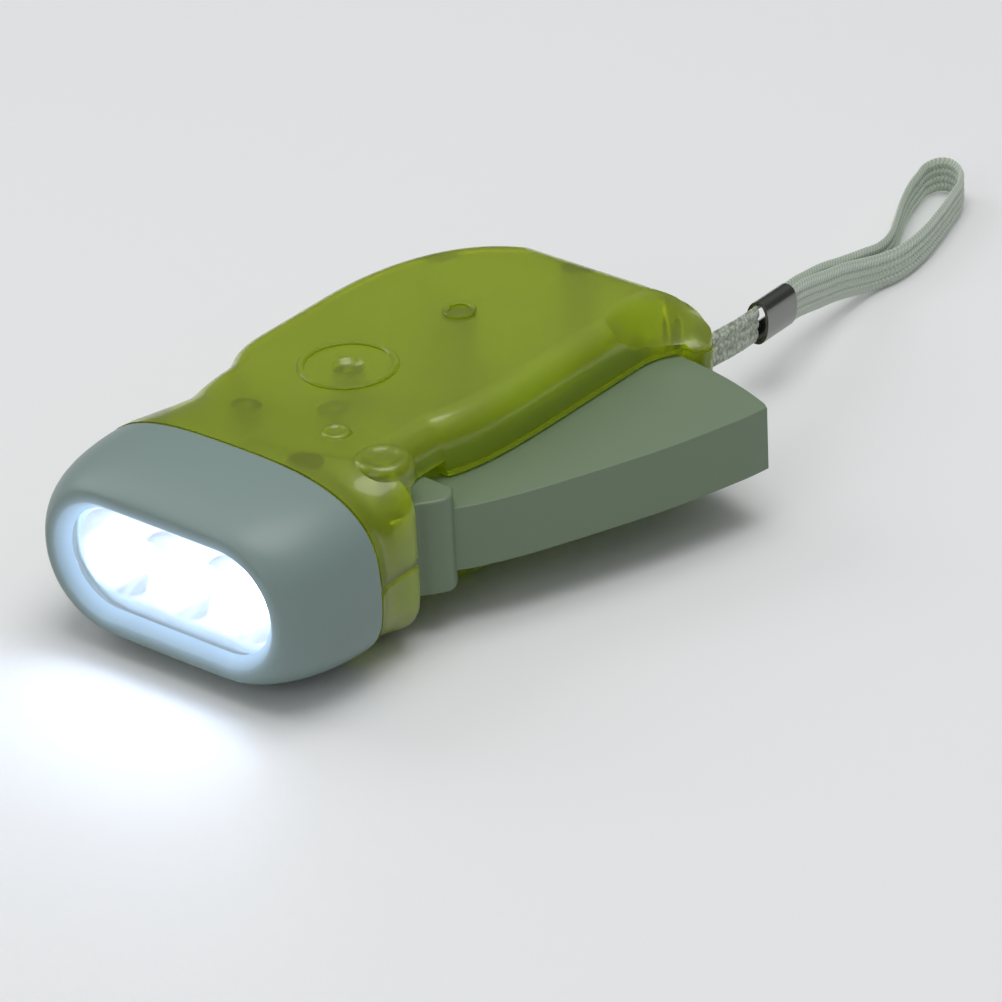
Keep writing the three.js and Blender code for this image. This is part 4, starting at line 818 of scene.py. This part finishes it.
marks = {
    "rings": [
        {"place": housing["axes"]["rotor"], "outer": 8.1, "inner": 6.9, "height": 0.5, "soft": 0.28},
        {"place": housing["screws"][0], "outer": 2.75, "inner": 1.85, "height": 0.45, "soft": 0.15}],
    "bosses": [
        {"place": pivot, "foot": 4.9, "crest": 3.4, "floor": 1.8, "height": 0.85, "drop": 1.2, "dip": 0.45,
         "root": 3.2},
        {"place": (8.3, -19.4), "foot": 2.6, "crest": 1.8, "floor": 0.9, "height": 0.75, "drop": 0.3,
         "dip": 0.3, "root": 1.2}],
    "ringRoot": 0.8, "bowl": (2.6, 0.9),
}


def raisedRing(place, outer, inner, height, soft):
    root, side, crest = top - marks["ringRoot"], top + height - soft, top + height
    profile = [(inner, root), (inner, side), (inner + soft, crest), (outer - soft, crest), (outer, side),
               (outer, root)]
    return turned(profile, (*place, 0), closed=True)


def raisedBoss(place, foot, crest, floor, height, drop, dip, root):
    # a soft ring round a flat floor, with a flank that rounds up to the crest
    profile = [(0, top - root), (foot, top - root)]
    for turn in quarter(10):
        profile.append((mix(foot, crest, 1 - math.cos(turn)), top - drop + (height + drop) * math.sin(turn)))
    profile += [(mix(crest, floor, k / 8), top + height - dip * ease(k / 8, 0, 1)) for k in range(1, 9)]
    return turned(profile + [(0, top + height - dip)], (*place, 0))


bead = {"out": 0.35, "low": 4.9, "high": 6.6, "bodyFrom": (12, -9), "tipFrom": (20, 34), "to": (40, 50.3)}


def edgeBead(side):
    # a fine bead along the edge that the lever closes under
    low, high = sorted((seam + side * bead["low"], seam + side * bead["high"]))
    beads = []
    for plan, start in ((planOutline(0), "bodyFrom"), (hookPlan(), "tipFrom")):
        body = prism(insetPlan(plan, -bead["out"]), low, high)
        room = block((*bead[start], low - past), (*bead["to"], high + past))
        beads.append(carve(body, [room], "INTERSECT"))
    return beads


# the arm's gap between the shells, and the room for the lever's hub
channel = {
    "start": (9.9, -22.5), "reach": 67.0, "turns": (0, 105), "steps": 90, "low": 9.2, "high": 21.0,
    "hub": [((14, -22.8, 6.5), (86.2, -7.5, 23.7)), ((14, -27.4, 6.5), (25.7, -7.5, 23.7))],
}


def leverChannel():
    x, y = channel["start"]
    plan = [(x, y)] + arc(pivot, channel["reach"], *channel["turns"], channel["steps"]) + [(x, hook["front"])]
    return [prism(plan, channel["low"], channel["high"])] + [block(*ends) for ends in channel["hub"]]


# radius and inner end of each post, and the radius of each bore
posts = {
    "screws": 2.75, "strapPin": 1.8, "strapGap": 3.7,
    "upper": {"first": (2.5, 19.9), "second": (2.5, 23.0), "rotor": (2.5, 23.0), "pivot": (4.2, 23.6)},
    "lower": {"first": (2.5, 12.6), "second": (1.8, 16.8), "rotor": (1.8, 2.4), "pivot": (2.1, 6.6)},
    "bores": {"first": 1.08, "second": 1.08, "rotor": 1.08, "pivot": 1.58},
    "screwBore": (1.18, 18.7), "screwHead": (2.38, 3.4),
    "switchHole": ((-27.6, -19.1), (-19.4, -13.5), 1.45), "strapSlot": 1.9,
}
strapPin = {
    "bore": (0.98, 6.0, 24.2),
    "profile": [(0, 6.0), (0.65, 6.0), (0.9, 6.25), (0.9, 23.95), (0.65, 24.2), (0, 24.2)],
}


def shellPosts(side):
    outer = top + past if side > 0 else -past
    ends = [(p, posts["screws"], seam + side * housing["gap"] / 2) for p in housing["screws"]]
    ends += [(housing["axes"][k], *size) for k, size in posts["upper" if side > 0 else "lower"].items()]
    ends.append((housing["strapPin"], posts["strapPin"], seam + side * posts["strapGap"]))
    return [rod(place, radius, *sorted((inner, outer))) for place, radius, inner in ends]


def screwBores(kind, sides):
    radius, end = posts[kind]
    return together(*[rod(p, radius, -past, end, sides) for p in housing["screws"]])


def shellTools():
    # what is cut from both shells: the lever's channel, the strap's and the switch's slots and the bores
    x, y = housing["strapPin"]
    half, gap = posts["strapSlot"], posts["strapGap"]
    strapSlot = block((x - half, y, seam - gap), (x + half, housing["tail"] + past, seam + gap))
    low, high, gap = posts["switchHole"]
    bores = [rod(housing["axes"][k], radius, wall, top - wall, 32) for k, radius in posts["bores"].items()]
    return leverChannel() + [
        together(strapSlot, block((*low, seam - gap), (*high, seam + gap))), together(*bores),
        rod(housing["strapPin"], *strapPin["bore"], 32), screwBores("screwBore", 24)]


def addShell(side, name, node):
    # the cavity leaves the posts standing and the hook solid
    cavity = carve(pillow(side, wall, housing["insideSteps"]), [tailCutter(side, wall)])
    cavity = carve(cavity, [together(*shellPosts(side))])
    low, (wide, high) = housing["frontBox"]
    front = block(low, (wide, housing["jointY"] + housing["gap"], high))
    shell = carve(pillow(side, 0, housing["roundSteps"]), [hookBlock(side)], "UNION")
    shell = carve(shell, edgeBead(side), "UNION")
    shell = carve(shell, [tailCutter(side, 0)])
    shell = carve(shell, [cavity, front])
    if side > 0:
        raised = [raisedRing(**ring) for ring in marks["rings"]]
        raised += [raisedBoss(**boss) for boss in marks["bosses"]]
        shell = carve(shell, [together(*raised)], "UNION")
        last = bowl(housing["axes"]["rotor"], *marks["bowl"])
    else:
        last = screwBores("screwHead", 32)
    shell = carve(shell, shellTools() + [last])
    finishShape(shell, name, node, "housing", 32)


addShell(1, "upperShell", "upper_shell")
addShell(-1, "lowerShell", "lower_shell")
print("housing made")


# head and lever

head = {
    "front": -51.75, "depth": 18.0, "rim": (23.5, 11.9), "mouth": (22.05, 10.28), "throat": (20.1, 8.7),
    "throatDepth": 2.0, "seat": (21.4, 10.0), "seatDepth": 3.8, "centre": 16.1, "wall": 1.8,
    "socket": [(0, 3.1), (1.6, 3.1), (1.6, 4.3)], "behind": (0.8, 3.0), "middle": 0.5,
    "flare": (2.2, 0.62), "power": 3, "sides": 132, "steps": 22, "edge": 0.22, "edgeAngle": 0.35,
}


def headRing(y, grown, size, inset=0):
    # between a straight-sided oval in front and the shells' own section behind
    ring = []
    power = head["power"]
    for k in range(head["sides"]):
        turn = math.tau * k / head["sides"]
        c, s = math.cos(turn), math.sin(turn)
        width, height = size[0] - inset, size[1] - inset
        flat = width - height
        if height * abs(c) <= flat * abs(s):
            oval = height / abs(s)
        else:
            oval = flat * abs(c) + math.sqrt(height ** 2 - (flat * s) ** 2)
        half = housing["halfHeight"] + (housing["headRise"] if s > 0 else 0) - inset
        full = ((abs(c) / (housing["headWidth"] - inset)) ** power + (abs(s) / half) ** power) ** (-1 / power)
        radius = mix(oval, full, grown)
        ring.append(Vector((radius * c, y, mix(head["centre"], seam, grown) + radius * s)))
    return ring


def headSection(share, inset=0):
    # the flare from the oval to the shells' section, by its share of the depth
    early, late = head["flare"]
    grown = (1 - (1 - share) ** early) ** late
    return headRing(head["front"] + head["depth"] * share, grown, head["rim"], inset)


def addBezel():
    front, joint, thick = head["front"], housing["jointY"], head["wall"]
    rings = [headSection((k / head["steps"]) ** 2) for k in range(head["steps"] + 1)]
    rings += [headRing(joint + back, 1, head["rim"], inset) for back, inset in head["socket"]]
    inside = (head["behind"], (head["middle"], thick), (head["seatDepth"] / head["depth"], thick))
    rings += [headSection(share, inset) for share, inset in inside]
    rings += [headRing(front + back, 0, head[size]) for back, size in (
        (head["seatDepth"], "seat"), (head["throatDepth"], "seat"), (head["throatDepth"], "throat"),
        (0, "mouth"), (0, "rim"))]
    bm = skin(rings)
    # rounded lips: the rim's two edges, and the edge that meets the shells
    lips = []
    for edge in bm.edges:
        ends = [v.co.y for v in edge.verts]
        onEnd = any(all(abs(y - level) < 0.001 for y in ends) for level in (front, joint))
        if onEnd and edge.calc_face_angle(0) > head["edgeAngle"]:
            lips.append(edge)
    roundOff(bm, lips, head["edge"], 3)
    finishShape(bm, "headBezel", "bezel", "head", 35)


lever = {
    "top": 20.6, "bottom": 9.6, "plate": 1.5, "wall": 1.8, "edge": 0.8, "reach": 66.6, "hubReach": 10.3,
    "start": (15.4, -12.8), "endTurns": (66.6, 93.61), "corner": 1.3, "edgeGap": 1.2, "hubGap": 0.6,
    "edgeShares": [(0, 46.6), (0.077, 49), (0.255, 54.8), (0.62, 60.9), (0.882, 64), (0.994, 65.4)],
    "opening": ((10.4, -7.5), (19.0, 37.9)),
    "hubTop": 23.3, "hubBottom": 6.9, "hubRadius": 5.2, "hubTurns": (150, 340), "hubEdge": 0.6,
    "hubEnd": (15.4, -12.2),
    "hubCurve": [(24.2, -20.7), (25.7, -18.5), (27.1, -16.2), (26.8, -14.4), (25.4, -12.6)],
    "slot": ((-47, -26.5), (19.6, -14.8)), "slotRadius": 4.45, "slotLevels": (13.0, 17.2), "pinBore": 1.58,
    "springRadii": (3.2, 2.0), "springTurns": (241, 284), "springTop": 8.8,
}


def roundedCorners(plan, corners, size, steps=6):
    # corners of a flat plan, rounded by the bevel operator
    bm = bmesh.new()
    verts = [bm.verts.new((x, y, 0)) for x, y in plan]
    bm.faces.new(verts)
    near = [min(verts, key=lambda v: (v.co.to_2d() - Vector(c)).length) for c in corners]
    roundOff(bm, near, size, steps, "VERTICES")
    outline = [v.co.to_2d() for v in bm.faces[:][0].verts]
    bm.free()
    return outline


def addLever():
    points = [onCircle(pivot, mix(lever["hubReach"], lever["reach"], share), turn)
              for share, turn in lever["edgeShares"]]
    end = arc(pivot, lever["reach"], *lever["endTurns"], 30)
    plan = [lever["start"]] + drawn(points[0], throughPoints(points), lever["edgeGap"]) + end
    floor, roof = lever["bottom"] + lever["plate"], lever["top"] - lever["plate"]
    outside = roundedCorners(plan, [end[-1]], lever["corner"])
    arm = prism(outside, lever["bottom"], lever["top"], lever["edge"], segments=5)
    low, high = lever["opening"]
    hollow = prism(insetPlan(plan, lever["wall"]), floor, roof)
    arm = carve(arm, [hollow, block((*low, floor), (*high, roof))])
    start = arc(pivot, lever["hubRadius"], *lever["hubTurns"], 40)
    curve = drawn(start[-1], throughPoints([start[-1]] + lever["hubCurve"]), lever["hubGap"])
    hub = prism(start[:-1] + curve + [lever["hubEnd"]], lever["hubBottom"], lever["hubTop"], lever["hubEdge"])
    whole = carve(arm, [hub], "UNION")
    (low, high), (floor, roof) = lever["slot"], lever["slotLevels"]
    (outer, inner), (first, last) = lever["springRadii"], lever["springTurns"]
    tang = arc(pivot, outer, first, last, 12) + arc(pivot, inner, last, first, 12)
    whole = carve(whole, [
        rod(pivot, lever["slotRadius"], floor, roof), block((*low, floor), (*high, roof)),
        prism(tang, 0, lever["springTop"]), rod(pivot, lever["pinBore"], 0, top)])
    finishShape(whole, "squeezeLever", "lever", "lever", 35, "lever")


cups = {
    "pitch": 12.5, "radius": 7.4, "neck": 2.9, "front": -47.95, "depth": 8.5, "wall": 1.2, "sunk": 0.1,
    "flange": (21.1, 9.7), "steps": 14, "sides": 72,
}


def cupProfile(extra):
    points = []
    for share in (k / cups["steps"] for k in range(cups["steps"] + 1)):
        radius = math.sqrt(mix(cups["radius"] ** 2, cups["neck"] ** 2, share))
        points.append((radius + extra, cups["front"] + cups["depth"] * share))
    return points


def addCups():
    front, thick, neck, centre = cups["front"], cups["wall"], cups["neck"], head["centre"]
    back = front + cups["depth"]
    before, behind = front - past, back + past
    outside = [(0, front + cups["sunk"])] + cupProfile(thick)[1:]
    outside += [(neck + thick, back + thick), (0, back + thick)]
    inside = [(0, before), (cups["radius"], before)] + cupProfile(0) + [(neck, behind), (0, behind)]
    rings = [headRing(y, 0, cups["flange"]) for y in (front, front + thick)]
    ends = [[Vector((0, ring[0].y, centre))] * len(ring) for ring in rings]
    plate = skin([ends[0]] + rings + [ends[1]])
    places = [(side * cups["pitch"], 0, centre) for side in (-1, 0, 1)]
    wide, high = cups["flange"]
    low, high = (-wide, before, centre - high), (wide, behind, centre + high)
    shells = [carve(turned(outside, p, True, cups["sides"]), [block(low, high)], "INTERSECT") for p in places]
    whole = carve(plate, shells, "UNION")
    whole = carve(whole, [turned(inside, p, True, cups["sides"]) for p in places])
    finishShape(whole, "ledCups", "reflector", "chrome")


led = {"radius": 2.5, "flange": 2.9, "flangeDepth": 1.0, "length": 8.2, "back": -36.95}


def addLed(side, x):
    radius, flange, back = led["radius"], led["flange"], led["back"]
    tip, step = back - led["length"], back - led["flangeDepth"]
    profile = [(radius * math.sin(t), tip + radius * (1 - math.cos(t))) for t in quarter(16)]
    profile += [(radius, step), (flange, step), (flange, back), (0, back)]
    bm = turned(profile, (x, 0, head["centre"]), True, 48)
    finishShape(bm, "ledDome_" + side, "led_" + side, "lit", 40)


# radius and height of the crowned head and the shank, corners of the thread, and the arms of the recess
screw = {
    "profile": [(0, 2.4), (1.15, 2.4), (1.955, 2.52), (2.3, 2.7), (2.3, 3.3), (0.85, 3.3), (0.85, 17.2),
                (0.3, 18.4), (0, 18.4)],
    "thread": [(0.73, 4.3), (1.1, 4.52), (0.73, 4.74)], "pitch": 0.8, "turns": 15, "steps": 20,
    "recess": [(1.35, 0.28), (0.28, 1.35)], "recessLevels": (1.4, 3.0),
    "names": ("middle", "tail_left", "tail_right", "neck_left", "neck_right"),
}


def screwShape():
    ridge = bmesh.new()
    verts = [ridge.verts.new((radius, 0, height)) for radius, height in screw["thread"]]
    edges = [ridge.edges.new(pair) for pair in zip(verts, verts[1:] + verts[:1])]
    bmesh.ops.spin(ridge, geom=verts + edges, cent=(0, 0, 0), axis=(0, 0, 1),
                   dvec=(0, 0, screw["pitch"] / screw["steps"]), angle=math.tau * screw["turns"],
                   steps=screw["steps"] * screw["turns"], use_merge=False, use_duplicate=False)
    bmesh.ops.holes_fill(ridge, edges=ridge.edges, sides=0)
    whole = carve(turned(screw["profile"], steps=40), [faceOut(ridge)], "UNION")
    low, high = screw["recessLevels"]
    return carve(whole, [block((-x, -y, low), (x, y, high)) for x, y in screw["recess"]])


def addScrews():
    shape = screwShape()
    for name, place in zip(screw["names"], housing["screws"]):
        bm = shape.copy()
        bmesh.ops.translate(bm, vec=(*place, 0), verts=bm.verts)
        finishShape(bm, "crossScrew_" + name, "screw_" + name, "steel")
    shape.free()


def addStrapPin():
    bm = turned(strapPin["profile"], (*housing["strapPin"], 0), steps=32)
    finishShape(bm, "strapHoldingPin", "strap_pin", "steel")


slider = {
    "grip": ((-24.3, -19.8, 12.8), (-22.9, -15.4, 17.4)),
    "stem": ((-23.6, -18.8, 13.95), (-20.3, -16.4, 16.25)),
    "plate": ((-20.7, -21.1, 12.8), (-19.9, -14.1, 17.1)),
    "edge": 0.35, "grooves": 4, "grooveRadius": 0.36, "grooveOut": 0.1,
}


def addSlider():
    (x0, y0, z0), (x1, y1, z1) = slider["grip"]
    edge, count = slider["edge"], slider["grooves"]
    plan = roundedCorners([(x0, y0), (x1, y0), (x1, y1), (x0, y1)], [(x0, y0), (x0, y1)], edge, 4)
    grip = prism(plan, z0, z1, edge, segments=3)
    pitch = (y1 - y0 - 2 * edge) / count
    places = [(x0 - slider["grooveOut"], y0 + edge + pitch * (k + 0.5)) for k in range(count)]
    grip = carve(grip, [rod(p, slider["grooveRadius"], z0 - past, z1 + past, 20) for p in places])
    whole = carve(block(*slider["stem"]), [grip, block(*slider["plate"])], "UNION")
    finishShape(whole, "slidingButton", "switch_slider", "black", 35, "switch_slider")


cell = {
    "radius": 4.6, "thickness": 5.2, "first": -14.8, "gap": 0.3, "y": -28.0, "z": 8.1, "sides": 56,
    # can, crimped rim, sealing ring and raised cap: how far in from the radius, and from which face
    "can": [(0.5, 0), (0.12, 0.15), (0, 0.5)],
    "cap": [(0, 0.9), (0.12, 0.65), (0.45, 0.55), (0.5, 0.8), (0.75, 0.8), (0.85, 0.2), (1.1, 0)],
}


def addCells():
    r, t = cell["radius"], cell["thickness"]
    profile = [(0, 0)] + [(r - x, z) for x, z in cell["can"]]
    profile += [(r - x, t - z) for x, z in cell["cap"]] + [(0, t)]
    for k in range(3):
        bm = turned(profile, steps=cell["sides"])
        place = Matrix.Translation((cell["first"] + k * (t + cell["gap"]), cell["y"], cell["z"]))
        bmesh.ops.transform(bm, matrix=place @ Matrix.Rotation(math.pi / 2, 4, "Y"), verts=bm.verts)
        number = str(k + 1)
        finishShape(bm, "coinCell_" + number, "button_cell_" + number, "steel")


for add in (addBezel, addLever, addCups, addScrews, addStrapPin, addSlider, addCells):
    add()
for side, x in (("left", -cups["pitch"]), ("centre", 0), ("right", cups["pitch"])):
    addLed(side, x)


nodesByFinish = {
    "clear": "lens", "board": "led_board", "wound": "coil_winding", "red": "wire_switch",
    "white": "sector_gear first_gear second_gear coil_bobbin", "black": "rotor_magnet wire_cells",
    "steel": "first_axle second_axle lever_pin rotor_shaft lever_spring switch_body",
    "darkSteel": "flywheel stator_cup", "copper": "cell_contact_left cell_contact_right wire_coil",
}
for finish, nodes in nodesByFinish.items():
    for node in nodes.split():
        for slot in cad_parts[node].material_slots:
            slot.material = finishes[finish]
print("housing, head and lever dressed")


# floor and light

def addFloor():
    bm = bmesh.new()
    bmesh.ops.create_grid(bm, x_segments=1, y_segments=1, size=4.0)
    mesh = asMesh(bm, "floor")
    mesh.materials.append(newMaterial("paleFloor", {"Base Color": (0.8, 0.81, 0.82, 1), "Roughness": 0.6})[0])
    floor = addObject("floor", mesh)
    floor.location.z = -0.0001


def addLamp(name, place, size, power):
    data = bpy.data.lights.new(name, "AREA")
    data.shape = "RECTANGLE"
    data.size, data.size_y = size
    data.energy = power
    lamp = addObject(name, data)
    lamp.location = place
    lamp.rotation_euler = (-Vector(place)).to_track_quat("-Z", "Y").to_euler()


def addWorld():
    # a soft ceiling, dimmer towards the horizon
    world = bpy.data.worlds.new("studio")
    world.use_nodes = True
    tree = world.node_tree
    place = addNode(tree, "ShaderNodeTexCoord").outputs["Generated"]
    height = addNode(tree, "ShaderNodeSeparateXYZ", values={0: place}).outputs["Z"]
    fill(tree, tree.nodes["Background"], {"Color": ramp(tree, height, [0.13] * 3, [0.58] * 3, (0.3, 0.95))})
    bpy.context.scene.world = world


addFloor()
addWorld()
addLamp("topBox", (0.1, 0.1, 1.3), (0.9, 0.9), 8.4)
addLamp("leftBox", (-1.1, -0.1, 0.8), (0.8, 0.8), 3)
addLamp("frontBox", (0.1, -1.1, 0.6), (0.8, 0.6), 2)
bpy.context.scene.view_settings.view_transform = "Standard"
print("floor and light set")
